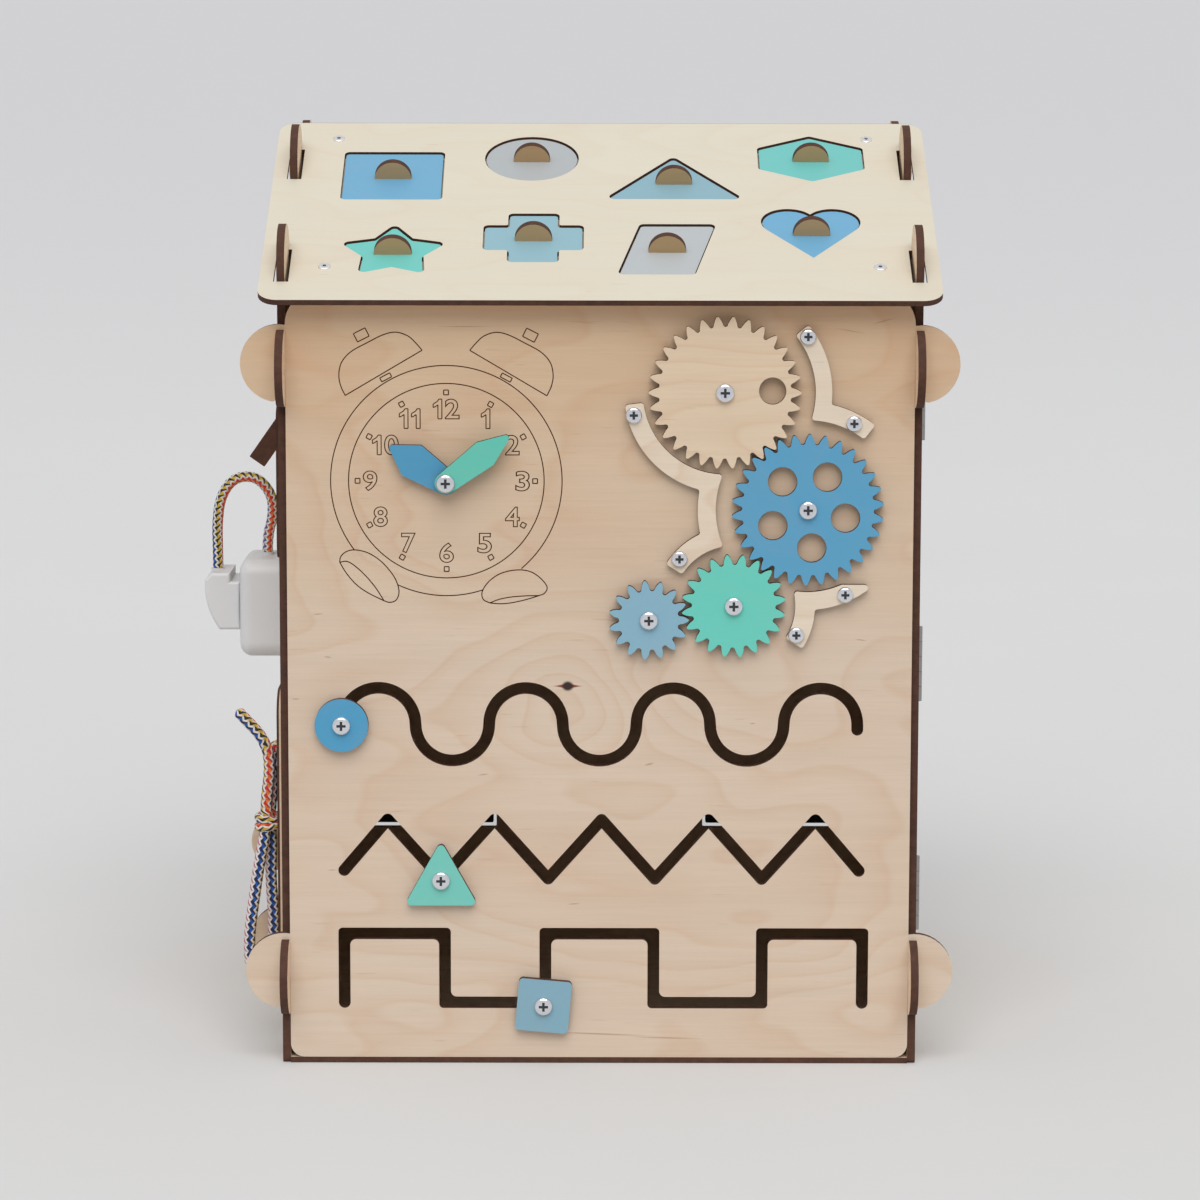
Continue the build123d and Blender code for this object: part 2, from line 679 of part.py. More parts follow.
triangle_points = [(-triangle_base / 2, -triangle_knob), (triangle_base / 2, -triangle_knob),
                   (0, triangle_height - triangle_knob)]
hexagon_points = [(hexagon_width / 2, -hexagon_side / 2), (hexagon_width / 2, hexagon_side / 2),
                  (0, hexagon_height / 2), (-hexagon_width / 2, hexagon_side / 2),
                  (-hexagon_width / 2, -hexagon_side / 2), (0, -hexagon_height / 2)]
rhomb_points = [((side * rhomb_width + rise * rhomb_lean) / 2, rise * rhomb_height / 2)
                for side, rise in ((-1, -1), (1, -1), (1, 1), (-1, 1))]
insert_outlines = {
    "square": RectangleRounded(square_side, square_side, insert_corner),
    "circle": Circle(circle_diameter / 2),
    "triangle": rounded(triangle_points),
    "hexagon": rounded(hexagon_points),
    "star": rounded(star_points()),
    "plus": rounded(plus_points()),
    "rhomb": rounded(rhomb_points),
    "heart": heart(0),
}

front_roof = roof_outline()
for name, place in insert_places.items():
    hole = heart(insert_gap) if name == "heart" else offset(insert_outlines[name], amount=insert_gap)
    front_roof -= Pos(*place) * hole
tray_left, tray_right = tray_shift - tray_width / 2, tray_shift + tray_width / 2
tray_outline = rectangle(tray_left, tray_right, tray_low, tray_high)
rivet_places = [(x, y) for x in (tray_left + rivet_inset, tray_right - rivet_inset)
                for y in (tray_low + rivet_inset, tray_high - rivet_inset)]
for place in rivet_places:
    rivet_hole = Pos(*place) * Circle(rivet_shank + fit / 2)
    front_roof -= rivet_hole
    tray_outline -= rivet_hole
parts["roof_front"] = to_roof * Pos(0, 0, -thin_ply) * extrude(front_roof, amount=thin_ply)
parts["roof_back"] = turn_round * to_roof * Pos(0, 0, -thin_ply) * extrude(roof_outline(), amount=thin_ply)
parts["sorter_tray"] = to_roof * Pos(0, 0, -2 * thin_ply) * extrude(tray_outline, amount=thin_ply)
rivet_length = 2 * thin_ply + rivet_flange_height
rivet = Pos(0, 0, rivet_flange_height / 2) * Cylinder(rivet_flange, rivet_flange_height)
rivet = fillet(rivet.edges().sort_by(Axis.Z)[-1], rivet_crown * rivet_flange_height)
rivet += Pos(0, 0, -rivet_length / 2) * Cylinder(rivet_shank, rivet_length)
rivet += Pos(0, 0, -2 * thin_ply - rivet_flange_height / 2) * Cylinder(rivet_upset, rivet_flange_height)
rivet -= Cylinder(rivet_hollow, 4 * rivet_length)
parts["roof_rivets"] = Compound([to_roof * Pos(*place) * rivet for place in rivet_places])

# ---- inserts of the shape sorter, each with a half-round knob tenoned into it
knob_profile = Circle(knob_radius) & rectangle(-knob_radius, knob_radius, 0, knob_radius)
knob_profile += rectangle(-knob_tenon / 2, knob_tenon / 2, -insert_ply, 0)
knob = Rot(90, 0, 0) * Pos(0, 0, -ply / 2) * extrude(knob_profile, amount=ply)
tenon_hole = Rectangle(knob_tenon + fit, ply + fit)
insert_top = insert_ply - thin_ply
for name, place in insert_places.items():
    settled = Pos(place[0], place[1] - insert_gap + fit, insert_top)
    plate = extrude(insert_outlines[name] - tenon_hole, amount=-insert_ply)
    parts["insert_" + name] = to_roof * settled * plate
    parts["knob_" + name] = to_roof * settled * knob

# ---- sliders: a cap in front, and a screw with a washer and a nut behind the wall
groove_starts = {
    "round": (-wave_arcs * wave_radius, wave_mid),
    "triangle": zigzag_corners[2],
    "square": (meander_x[2] + square_cap_rest[0], meander_low + square_cap_rest[1]),
}
low_edge = -triangle_cap_screw
triangle_cap = make_face(Polyline((-triangle_cap_base / 2, low_edge), (triangle_cap_base / 2, low_edge),
                                  (0, low_edge + triangle_cap_height), close=True))
caps = {
    "round": Circle(round_cap_radius),
    "triangle": fillet(triangle_cap.vertices(), cap_corner),
    "square": Rot(0, 0, square_cap_turn) * RectangleRounded(square_cap_side, square_cap_side, cap_corner),
}
cap_face = slider_gap + ply
bolt_length = cap_face + ply + slider_gap + slider_washer_height + nut_height + shank_over
for name, place in groove_starts.items():
    cap = extrude(caps[name] - Circle(slider_shank + fit / 2), amount=ply)
    parts["slider_" + name] = on_front(cap, place, slider_gap)
    washer_out = -ply - slider_gap - slider_washer_height
    parts["slider_" + name + "_bolt"] = Compound([
        on_front(pan_screw(screw_head, screw_head_height, slider_shank, bolt_length), place, cap_face),
        on_front(ring(slider_washer, slider_shank + fit / 2, slider_washer_height), place, washer_out),
        on_front(hex_nut(slider_shank + fit / 2), place, washer_out - nut_height),
    ])

# ---- left wall, lever and its plate
lever_slot = rectangle(lever_plate_y - lever_width / 2 - lever_side_gap,
                       lever_plate_y + lever_width / 2 + lever_side_gap,
                       lever_pivot_z - lever_slot_below, lever_pivot_z + lever_slot_above)
parts["left_wall"] = from_side(side_outline() - lever_slot, -half_out, ply)
plate_outline = Pos(lever_plate_y, lever_plate_z) * RectangleRounded(
    lever_plate_length, lever_plate_height, lever_plate_corner)
lever_pivot = Pos(-half_out - ply / 2, lever_plate_y, lever_pivot_z)
lever_pin_length = lever_width + 2 * lever_pin_seat
pin_bore = lever_pivot * Rot(90, 0, 0) * Cylinder(lever_pin + running_fit, lever_pin_length + fit)
parts["lever_plate"] = from_side(plate_outline - lever_slot, -board_face, ply) - pin_bore
arm = rectangle(0, lever_length, -lever_thickness / 2, lever_thickness / 2)
arm = fillet(arm.vertices().group_by(Axis.X)[-1], lever_edge) + Circle(lever_thickness / 2)
arm = Rot(0, 0, lever_rest_angle - 180) * Rot(180, 0, 0) * arm
lever_solid = Rot(90, 0, 0) * Pos(0, 0, -lever_width / 2) * extrude(arm, amount=lever_width, dir=(0, 0, 1))
lever_solid += Rot(90, 0, 0) * Cylinder(lever_pin, lever_pin_length)
parts["lever"] = lever_pivot * lever_solid

# ---- socket housing, plug and pins

def gland(x, low, high):
    """Round gland that a cord comes out of, in the plane of the socket."""
    return Pos(x, socket_y, (low + high) / 2) * Cylinder(gland_radius, high - low)


pin_spots = [hand * plug_pin_spacing / 2 for hand in (-1, 1)]
housing = extrude(RectangleRounded(socket_side, socket_side, socket_corner), amount=socket_depth)
housing = fillet(housing.faces().sort_by(Axis.Z)[-1].edges(), socket_edge)
housing -= Pos(0, 0, socket_depth - socket_recess / 2) * Cylinder(socket_face, socket_recess)
pin_hole = plug_pin_length + pin_room
for spot in pin_spots:
    housing -= Pos(spot, 0, socket_depth - pin_hole / 2) * Cylinder(plug_pin_radius + pin_play, pin_hole)
housing = on_left(housing, (socket_y, socket_z))
gland_foot = socket_z + socket_side / 2 - socket_edge
housing += gland(gland_x, gland_foot, gland_top)
parts["socket_housing"] = housing

plug_out = socket_depth + fit
plug_profile = make_face([
    Polyline((plug_depth - plug_tail, -plug_below), (0, -plug_below), (0, plug_above),
             (plug_collar_step, plug_above), (plug_collar_step, plug_collar),
             (plug_depth - plug_collar_bevel, plug_collar), (plug_depth, plug_collar - plug_collar_bevel)),
    ThreePointArc((plug_depth, plug_collar - plug_collar_bevel), plug_back,
                  (plug_depth - plug_tail, -plug_below)),
])
plug_plane = Plane(origin=(-half_out - plug_out, socket_y, socket_z), x_dir=(-1, 0, 0), z_dir=(0, 1, 0))
plug = extrude(plug_plane * plug_profile, amount=plug_length / 2, both=True)
plug_sides = plug.faces().sort_by(Axis.Y)
plug = fillet(plug_sides[0].edges() + plug_sides[-1].edges(), plug_edge)
pin_length = plug_pin_length + plug_pin_seat
pin = Pos(0, 0, plug_pin_seat - pin_length / 2) * Cylinder(plug_pin_radius, pin_length)
pin = fillet(pin.edges().sort_by(Axis.Z)[0], plug_pin_radius / 2)
pin_seat = Pos(0, 0, plug_pin_seat / 2) * Cylinder(plug_pin_radius, plug_pin_seat)
pins = []
for spot in pin_spots:
    plug -= on_left(Pos(spot, 0) * pin_seat, (socket_y, socket_z), plug_out)
    pins.append(on_left(Pos(spot, 0) * pin, (socket_y, socket_z), plug_out))
plug += gland(cord_points[0][0], socket_z + plug_above - plug_collar_bevel, plug_gland_top)
parts["plug_body"] = plug
parts["plug_pins"] = Compound(pins)


# ---- cord and laces: straight runs joined by tangent arcs

def bend_radii(points):
    """Arc radius at each inner point, as wide as its share of the shorter run beside it allows."""
    radii = []
    for before, here, after in zip(points, points[1:], points[2:]):
        run_in = Vector(*here) - Vector(*before)
        run_out = Vector(*after) - Vector(*here)
        turn = radians(run_in.get_angle(run_out))
        radii.append(bend_share * min(run_in.length, run_out.length) / tan(turn / 2))
    return radii


def tube(points, diameter):
    radii = bend_radii(points)
    path = FilletPolyline(*points, radius=radii)
    print("arc radii", [round(radius, 1) for radius in radii], "length", round(path.length, 1))
    profile = Plane(origin=path @ 0, z_dir=path % 0) * Circle(diameter / 2)
    return sweep(profile, path=path)


parts["plug_cord"] = tube(cord_points, cord_diameter)
parts["lace_long"] = tube(lace_long_points, lace_diameter)
parts["lace_short"] = tube(lace_short_points, lace_diameter)


def lace_end(points, length, taper):
    """Tip or knot on a lace's end: a turned shape in line with the first run of points."""
    end, inner = Vector(*points[0]), Vector(*points[1])
    place = Plane(origin=end, z_dir=end - inner).location
    return place * Pos(0, 0, length / 2) * Cone(lace_end_radius, taper * lace_end_radius, length)


knot = Pos(*lace_knot_place) * Sphere(lace_knot_radius) - parts["lace_long"] - parts["lace_short"]
parts["lace_ends"] = Compound([
    knot,
    lace_end(lace_long_points, lace_tip_length, lace_tip_taper),
    lace_end(lace_long_points[::-1], lace_knot_length, lace_knot_taper),
    lace_end(lace_short_points[::-1], lace_knot_length, lace_knot_taper),
])

# ---- lacing board
board_shape = Pos(board_y, (board_top + board_bottom) / 2) * RectangleRounded(
    board_length, board_top - board_bottom, board_corner)
for height in eyelet_heights:
    for hand in (-1, 1):
        board_shape -= Pos(board_y + hand * eyelet_spread, height) * Circle(eyelet_radius)
lacing_board = from_side(board_shape, -board_face, ply)
cleat = Circle(cleat_radius) & rectangle(-cleat_radius, 0, -cleat_radius, cleat_radius)
for height in cleat_heights:
    lacing_board += on_front(extrude(cleat, amount=ply), (-board_face, height), -half_depth - board_y)
parts["lacing_board"] = lacing_board

# ---- right wall, doors and their hinges
right_outline = side_outline()
door_end = hinge_y + door_length
pin_x = half_out + knuckle_radius + knuckle_lift
knuckle_step = hinge_height / knuckle_count


def hinge_half(hand, first):
    """Leaf with every other knuckle; hand is 1 for the leaf on the door and -1 for the fixed one."""
    solid = cuboid(half_out, half_out + leaf_thickness, hand * leaf_clear, hand * leaf_width, 0, hinge_height)
    for number in range(first, knuckle_count, 2):
        low = number * knuckle_step + knuckle_gap / 2
        high = (number + 1) * knuckle_step - knuckle_gap / 2
        solid += cuboid(half_out, half_out + leaf_thickness, 0, hand * leaf_clear, low, high)
        solid += Pos(pin_x, 0, (low + high) / 2) * Cylinder(knuckle_radius, high - low)
    return Pos(0, hinge_y, -hinge_height / 2) * solid


hinge_pin = Pos(pin_x, hinge_y) * Cylinder(hinge_pin_radius, hinge_height)
hinge_bore = Pos(pin_x, hinge_y) * Cylinder(hinge_pin_radius + hinge_bore_play, 2 * hinge_height)
frame_leaves = []
for name, height in zip(door_names, door_heights):
    doorway = rectangle(hinge_y - door_gap, door_end + door_gap,
                        height - door_height / 2 - door_gap, height + door_height / 2 + door_gap)
    right_outline -= fillet(doorway.vertices(), door_corner + door_gap)
    door = Pos((hinge_y + door_end) / 2, height) * RectangleRounded(door_length, door_height, door_corner)
    door -= Pos(door_end - finger_hole_from_end, height) * Circle(finger_hole)
    parts["door_" + name] = from_side(door, half_in, ply)
    parts["hinge_leaf_" + name] = Pos(0, 0, height) * (hinge_half(1, 1) - hinge_bore)
    frame_leaves.append(Pos(0, 0, height) * (hinge_half(-1, 0) + hinge_pin))
parts["hinge_frame_leaves"] = Compound(frame_leaves)
parts["right_wall"] = from_side(right_outline, half_in, ply)

# ---- one file per piece
os.makedirs("parts", exist_ok=True)
for name, solid in parts.items():
    export_step(solid, f"parts/{name}.step")
print(len(parts), "pieces")
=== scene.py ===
"""Looks of a wooden busy box: plywood, paint, metal, braided cords, the engraved dial and the stage."""
import json
import math

import bpy
import numpy as np
from bpy.props import FloatProperty, FloatVectorProperty, PointerProperty
from bpy.types import Operator, Panel, PropertyGroup, Scene
from mathutils import Matrix, Vector


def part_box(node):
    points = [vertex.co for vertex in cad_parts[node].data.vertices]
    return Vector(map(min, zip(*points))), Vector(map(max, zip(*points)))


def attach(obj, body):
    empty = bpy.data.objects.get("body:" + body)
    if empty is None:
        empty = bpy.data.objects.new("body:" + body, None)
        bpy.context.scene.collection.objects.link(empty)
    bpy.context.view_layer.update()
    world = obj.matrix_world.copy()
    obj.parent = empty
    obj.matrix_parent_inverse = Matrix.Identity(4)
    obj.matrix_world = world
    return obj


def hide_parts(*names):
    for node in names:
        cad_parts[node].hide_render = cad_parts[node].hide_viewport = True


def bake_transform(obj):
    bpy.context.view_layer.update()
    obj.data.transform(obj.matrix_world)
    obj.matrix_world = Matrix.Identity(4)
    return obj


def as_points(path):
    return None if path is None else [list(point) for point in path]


bl_info = {
    "name": "Wooden busy box",
    "version": (1, 0, 0),
    "blender": (4, 5, 0),
    "location": "View3D > Sidebar > Busy box",
    "description": "Dresses a house-shaped wooden busy box",
    "category": "Object",
}

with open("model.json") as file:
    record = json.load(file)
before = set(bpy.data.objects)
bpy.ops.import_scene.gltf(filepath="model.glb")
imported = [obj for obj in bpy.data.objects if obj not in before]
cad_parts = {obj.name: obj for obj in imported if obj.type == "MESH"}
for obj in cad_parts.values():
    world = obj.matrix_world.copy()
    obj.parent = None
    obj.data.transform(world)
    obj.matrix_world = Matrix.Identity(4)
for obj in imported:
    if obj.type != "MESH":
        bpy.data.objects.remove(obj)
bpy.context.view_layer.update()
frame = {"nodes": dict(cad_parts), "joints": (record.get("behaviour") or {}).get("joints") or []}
MM = 0.001
FRONT_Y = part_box("front_wall")[0].y            # outer face of the front wall
BOARD_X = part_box("lever_plate")[0].x           # outer face of the boards on the left wall
ROOF_SLOPE = math.radians(25.5)
LEVER_LEAN = math.radians(55)

# Directions of each sheet: along its grain, and across it
ACROSS, INWARDS, UP = (1.0, 0.0, 0.0), (0.0, 1.0, 0.0), (0.0, 0.0, 1.0)
SLOPE_UP = (0.0, math.cos(ROOF_SLOPE), math.sin(ROOF_SLOPE))
FACING_FRONT, FACING_SIDE, LEVEL = (ACROSS, UP), (INWARDS, UP), (ACROSS, INWARDS)
ON_ROOF, ON_BACK_ROOF = (ACROSS, SLOPE_UP), (ACROSS, (0.0, -SLOPE_UP[1], SLOPE_UP[2]))
ACROSS_ROOF = (ACROSS, (0.0, -SLOPE_UP[2], SLOPE_UP[1]))
ALONG_LEVER = ((-math.cos(LEVER_LEAN), 0.0, -math.sin(LEVER_LEAN)), INWARDS)

# The side of each sheet that faces into the box, along its own outward direction
SIDE_SHEETS = {"left_wall": 1, "right_wall": -1, "door_top": -1, "door_middle": -1, "door_bottom": -1}
DOORS = ("top", "middle", "bottom")
CAPS = ("round", "triangle", "square")
SHAPES = ("square", "circle", "triangle", "hexagon", "star", "plus", "rhomb", "heart")


def colour(name, description, red, green, blue):
    """A colour as it looks on a screen, from 0 to 255 a channel."""
    return FloatVectorProperty(name=name, description=description, subtype="COLOR_GAMMA", size=3,
                               min=0.0, max=1.0, default=(red / 255, green / 255, blue / 255))


def length(name, description, millimetres):
    return FloatProperty(name=name, description=description, subtype="DISTANCE", unit="LENGTH",
                         default=millimetres * MM)


def spot(name, description, *metres):
    return FloatVectorProperty(name=name, description=description, subtype="XYZ", unit="LENGTH",
                               size=len(metres), default=metres)


def linear(colour):
    """A screen colour in the renderer's own linear values, with full alpha."""
    values = np.asarray(colour, dtype=float)
    flat = np.where(values <= 0.04045, values / 12.92, ((values + 0.055) / 1.055) ** 2.4)
    return (*flat.tolist(), 1.0)


# ---- settings

PAINTS = {
    "gear_blue": (82, 154, 191), "gear_teal": (101, 200, 184), "gear_small": (130, 173, 192),
    "clock_hour_hand": (64, 146, 185), "clock_minute_hand": (92, 190, 172),
    "slider_round": (70, 150, 190), "slider_triangle": (110, 194, 182), "slider_square": (124, 166, 184),
    "square": (106, 166, 200), "circle": (171, 177, 180), "triangle": (133, 173, 187),
    "hexagon": (106, 192, 188), "star": (104, 196, 188), "plus": (138, 179, 192),
    "rhomb": (178, 184, 187), "heart": (102, 167, 203), "window_boards": (14, 15, 18),
}
YARNS = {
    "white": (226, 220, 214), "black": (34, 34, 32), "blue": (22, 88, 178), "navy": (22, 28, 62),
    "red": (196, 42, 42), "orange": (236, 126, 54), "yellow": (214, 178, 52), "purple": (84, 74, 140),
    "pink": (188, 58, 108),
}


def colours(table, what):
    """A colour setting for each row of a table, named after its key."""
    words = {key: key.replace("_", " ") for key in table}
    return {key: colour(words[key].capitalize(), what + words[key], *channels)
            for key, channels in table.items()}


class BusyBoxWood(PropertyGroup):
    """Plywood and its burnt edges"""
    wall: colour("Wall", "Birch of the front, back and floor", 213, 194, 174)
    side: colour("Side", "Birch of the side walls, doors and boards", 216, 196, 172)
    roof: colour("Roof", "Pale birch of the roof", 215, 208, 190)
    # Inner faces: raw birch, pushed almost to white as painted light, so that the dim inside of the box seen
    # through the grooves is brighter
    inside: colour("Inside", "Raw birch inside the box", 246, 220, 190)
    gear: colour("Gear", "Birch of the bare gear", 220, 199, 172)
    strip: colour("Strip", "Birch of the guide strips", 226, 212, 192)
    # The knobs' birch is set darker than the other birch: partly its own tone, partly painted shade on the
    # knobs' down-slope faces
    knob: colour("Knob", "Birch of the knobs", 178, 150, 108)
    line: colour("Growth line", "Darker wood between two years", 196, 150, 112)
    fleck: colour("Fleck", "Short dark pores", 140, 95, 60)
    # Painted shade under the eave: multiplies the front wall's colour towards its top, for the eave's shade
    # and its warm bounce light
    mellow: colour("Mellow", "Tint of the front's wood under the eave", 250, 236, 215)
    knot: colour("Knot", "Heart of a knot", 42, 20, 14)
    flank: colour("Knot flank", "Red-brown wood beside a knot", 124, 56, 32)
    burnt: colour("Burnt edge", "Edge left by the laser", 76, 46, 32)
    engraved: colour("Engraved line", "Scorched line of the dial", 70, 38, 12)
    knot_place: spot("Knot place", "Knot in the front wall, across and up", -0.0161, 0.1950)


class BusyBoxPaint(PropertyGroup):
    """Paint on the gears, hands, caps and roof shapes"""
    __annotations__ = colours(PAINTS, "Paint of the ")


class BusyBoxDial(PropertyGroup):
    """The clock that is engraved in the front wall"""
    centre: spot("Centre", "Centre of the rings, across and up", -0.0770, 0.2990)
    outer: length("Outer ring", "Radius of the outer ring", 58.0)
    inner: length("Inner ring", "Radius of the inner ring", 49.0)
    numerals_across: length("Numerals across", "Radius of the numerals, sideways", 38.2)
    numerals_up: length("Numerals up", "Radius of the numerals, upwards", 36.2)
    numeral: length("Numeral", "Height of a numeral", 10.4)
    ticks: length("Ticks", "Radius of the twelve small squares", 44.5)
    tick: length("Tick", "Side of a small square", 2.4)
    line: length("Line", "Width of an engraved line", 0.55)
    digit: length("Digit", "Width of a digit, other than 1", 7.4)
    gap: length("Gap", "Room between the digits of a numeral", 1.2)
    widen: length("Widen", "How far the outline of a numeral is moved outwards", 0.30)


class BusyBoxCord(PropertyGroup):
    """Braided cord and laces"""
    plug_diameter: length("Plug cord", "Diameter of the plug's cord", 5.6)
    lace_diameter: length("Lace", "Diameter of a lace", 6.0)
    plug_cell: length("Plug cell", "Length of one cell in the plug's braid", 3.3)
    lace_cell: length("Lace cell", "Length of one cell in a lace's braid", 4.0)
    share: FloatProperty(name="Share", description="Width of a coloured column beside its white one",
                         default=0.64, min=0.1, max=0.9)
    sway: FloatProperty(name="Sway", description="How far a column swings aside, in columns", default=0.22)
    __annotations__.update(colours(YARNS, "Yarn in "))


class BusyBoxStage(PropertyGroup):
    """Camera, floor and light"""
    lens: FloatProperty(name="Lens", description="Focal length", unit="CAMERA", default=126.0)
    eye: spot("Eye", "Place of the camera", 0.0001, -2.2523, 0.5341)
    target: spot("Target", "Point that the camera looks at", 0.0001, -0.160, 0.2389)
    roll: FloatProperty(name="Roll", description="Turn of the camera about its view", subtype="ANGLE",
                        default=math.radians(0.1))
    floor: colour("Floor", "Plain pale floor", 213, 213, 213)
    far: colour("Far floor", "The floor's sweep far behind the box", 194, 194, 196)
    backdrop: colour("Backdrop", "What the camera sees beyond the floor", 211, 211, 213)
    sky: FloatProperty(name="Sky", description="Strength of the even light", default=0.85)
    sun: FloatProperty(name="Lamp", description="Strength of the broad lamp above", default=1.8)
    spread: FloatProperty(name="Spread", description="Apparent size of the lamp", subtype="ANGLE",
                          default=math.radians(48))


SETTINGS = {"busybox_wood": BusyBoxWood, "busybox_paint": BusyBoxPaint, "busybox_dial": BusyBoxDial,
            "busybox_cord": BusyBoxCord, "busybox_stage": BusyBoxStage}


# ---- materials

class Nodes:
    """A node tree that grows by short calls, most of which return a socket."""

    def __init__(self, tree):
        self.tree = tree

    def add(self, kind, inputs=None, **settings):
        node = self.tree.nodes.new("ShaderNode" + kind)
        for key, value in settings.items():
            setattr(node, key, value)
        for key, value in (inputs or {}).items():
            self.put(node.inputs[key], value)
        return node

    def put(self, socket, value):
        if isinstance(value, bpy.types.NodeSocket):
            self.tree.links.new(value, socket)
        else:
            socket.default_value = value

    def math(self, operation, first, second=0.0, third=0.0):
        return self.add("Math", {0: first, 1: second, 2: third}, operation=operation).outputs[0]

    def mix(self, factor, first, second, blend="MIX"):
        node = self.add("Mix", {0: factor, 6: first, 7: second}, data_type="RGBA", blend_type=blend)
        return node.outputs[2]

    def product(self, first, *others):
        for other in others:
            first = self.mix(1.0, first, other, "MULTIPLY")
        return first

    def apart(self, first, second):
        return self.math("ABSOLUTE", self.math("SUBTRACT", first, second))

    def moved(self, vector, kind="POINT", **inputs):
        """The vector as a mapping node's Location, Rotation and Scale change it."""
        return self.add("Mapping", {"Vector": vector, **inputs}, vector_type=kind).outputs[0]

    def axes(self, vector):
        return self.add("SeparateXYZ", {0: vector}).outputs

    def distance(self, vector):
        return self.add("VectorMath", {0: vector}, operation="LENGTH").outputs["Value"]

    def noise(self, vector, scale, detail=2.0, roughness=0.5):
        return self.add("TexNoise", {"Vector": vector, "Scale": scale, "Detail": detail,
                                     "Roughness": roughness}).outputs["Fac"]

    def ranged(self, value, start=(0.0, 1.0), end=(0.0, 1.0), **settings):
        """The value moved from its first range, given by both ends, to its last, and held within it."""
        return self.add("MapRange", {"Value": value, "From Min": start[0], "From Max": start[1],
                                     "To Min": end[0], "To Max": end[1]}, **settings).outputs[0]

    def ramp(self, factor, stops, interpolation="LINEAR"):
        """Values along a ramp; stops are (place, value) pairs, and a value is a grey or a colour."""
        node = self.add("ValToRGB", {"Fac": factor})
        node.color_ramp.interpolation = interpolation
        marks = node.color_ramp.elements
        while len(marks) < len(stops):
            marks.new(0.5)
        for mark, (place, value) in zip(marks, stops):
            mark.position = place
            mark.color = value if isinstance(value, tuple) else (value, value, value, 1.0)
        return node.outputs["Color"]

    def turned(self, vector, along, across):
        """The vector as seen by a sheet: along its grain, across it, and out of its face."""
        out = Vector(along).cross(Vector(across))
        return self.moved(vector, Rotation=Matrix((along, across, out)).to_euler())

    def clouded(self, noise, tint, share):
        """The tint where the noise is low, and this share of it where the noise is high."""
        return self.mix(noise, linear(tint), linear([min(1.0, channel * share) for channel in tint]))


class Surface(Nodes):
    """One material and its nodes."""

    def __init__(self, name):
        self.material = bpy.data.materials.new(name)
        self.material.use_nodes = True
        super().__init__(self.material.node_tree)
        self.shader = self.tree.nodes["Principled BSDF"]
        self.coordinates = self.add("TexCoord").outputs
        self.place = self.coordinates["Object"]

    def finish(self, colour, roughness, height=None, metallic=0.0, relief=0.0):
        self.put(self.shader.inputs["Base Color"], colour)
        self.put(self.shader.inputs["Roughness"], roughness)
        self.shader.inputs["Metallic"].default_value = metallic
        if height is not None:
            bump = self.add("Bump", {"Height": height, "Strength": 1.0, "Distance": relief})
            self.put(self.shader.inputs["Normal"], bump.outputs[0])
        return self.material


# Noises in the wood: how fast each goes along the grain, across it and out of it, detail and roughness
YEARS = ((4.6, 10.5, 3.0), 2.5, 0.42)
FIBRES = ((30.0, 900.0, 40.0), 3.0, 0.6)
STREAKS = ((5.0, 210.0, 9.0), 2.0, 0.5)
PORES = ((60.0, 640.0, 40.0), 1.0, 0.4)
PATCHES = ((6.0, 14.0, 6.0), 2.0, 0.5)
YEARS_IN_NOISE = 13.0                          # years from the bottom to the top of the noise
HILL, HILL_RISE = (26.0, 30.0, 0.0), 0.50      # a knot's hill in that noise: one over its reach, and rise
KNOT_FLANK, KNOT_EYE = (8.5, 2.4), (3.4, 2.9)  # reach along the grain and across it, in millimetres
# How much each shows on bare wood, how far each darkens it, and how much of them all paint hides
PATCH_SHOWS, LINE_SHOWS, PORE_SHOWS, MARK_SHOWS = 0.16, 0.26, 0.16, 0.55
FIBRE_SHADE, STREAK_SHADE, PAINT_HIDES = 0.05, 0.035, 0.85
FACE_ON = 0.7                                  # a face counts as facing a way from this cosine on
CLEAT_ROOM, LACING_BURN = 0.05 * MM, 1.2 * MM  # before the cleats begin; burnt part of the lacing edge
EAVE_SHADE_HEIGHTS = (0.20, 0.39)                  # painted shade under the eave: height where it begins on the front wall, and where it is full

# Flecks and cracks of the front wall: middle across and up, half length and half height, tilt in degrees
WALL_MARKS = (
    (-141.9, 231.5, 3.2, 0.45, 4), (-137.1, 209.6, 2.4, 0.5, -6), (-153.4, 188.2, 2.6, 0.45, 0),
    (-58.8, 149.6, 3.4, 0.5, 6), (25.2, 155.1, 3.0, 0.7, 14), (77.3, 176.0, 1.8, 0.5, 0),
    (131.5, 218.8, 3.6, 0.45, -8), (-135.7, 100.2, 2.6, 0.4, 0), (-12.9, 82.9, 3.8, 0.45, 4),
    (-68.0, 376.4, 15.0, 0.35, 0), (0.0, 15.2, 28.0, 0.60, -2.2), (34.0, 13.2, 20.0, 0.50, -1.5),
    (141.4, 379.6, 6.5, 0.45, 16), (125.0, 374.6, 9.0, 0.30, -10),
)


def flecks(skin, place, spots):
    """Where flecks and cracks are: each is an ellipse, full in its middle and clear at its rim."""
    total = 0.0
    for across, up, long, high, tilt in spots:
        local = skin.moved(place, "TEXTURE", Location=(across * MM, up * MM, 0.0),
                           Rotation=(0.0, 0.0, math.radians(tilt)), Scale=(long * MM, high * MM, 1000.0))
        cover = skin.ramp(skin.distance(local), [(0.0, 1.0), (0.4, 0.75), (1.0, 0.0)])
        total = skin.math("MAXIMUM", total, cover)
    return total


def figure(skin, place, stretch, detail, roughness):
    """A noise that is drawn out along the grain."""
    return skin.noise(skin.moved(place, Scale=stretch), 1.0, detail, roughness)


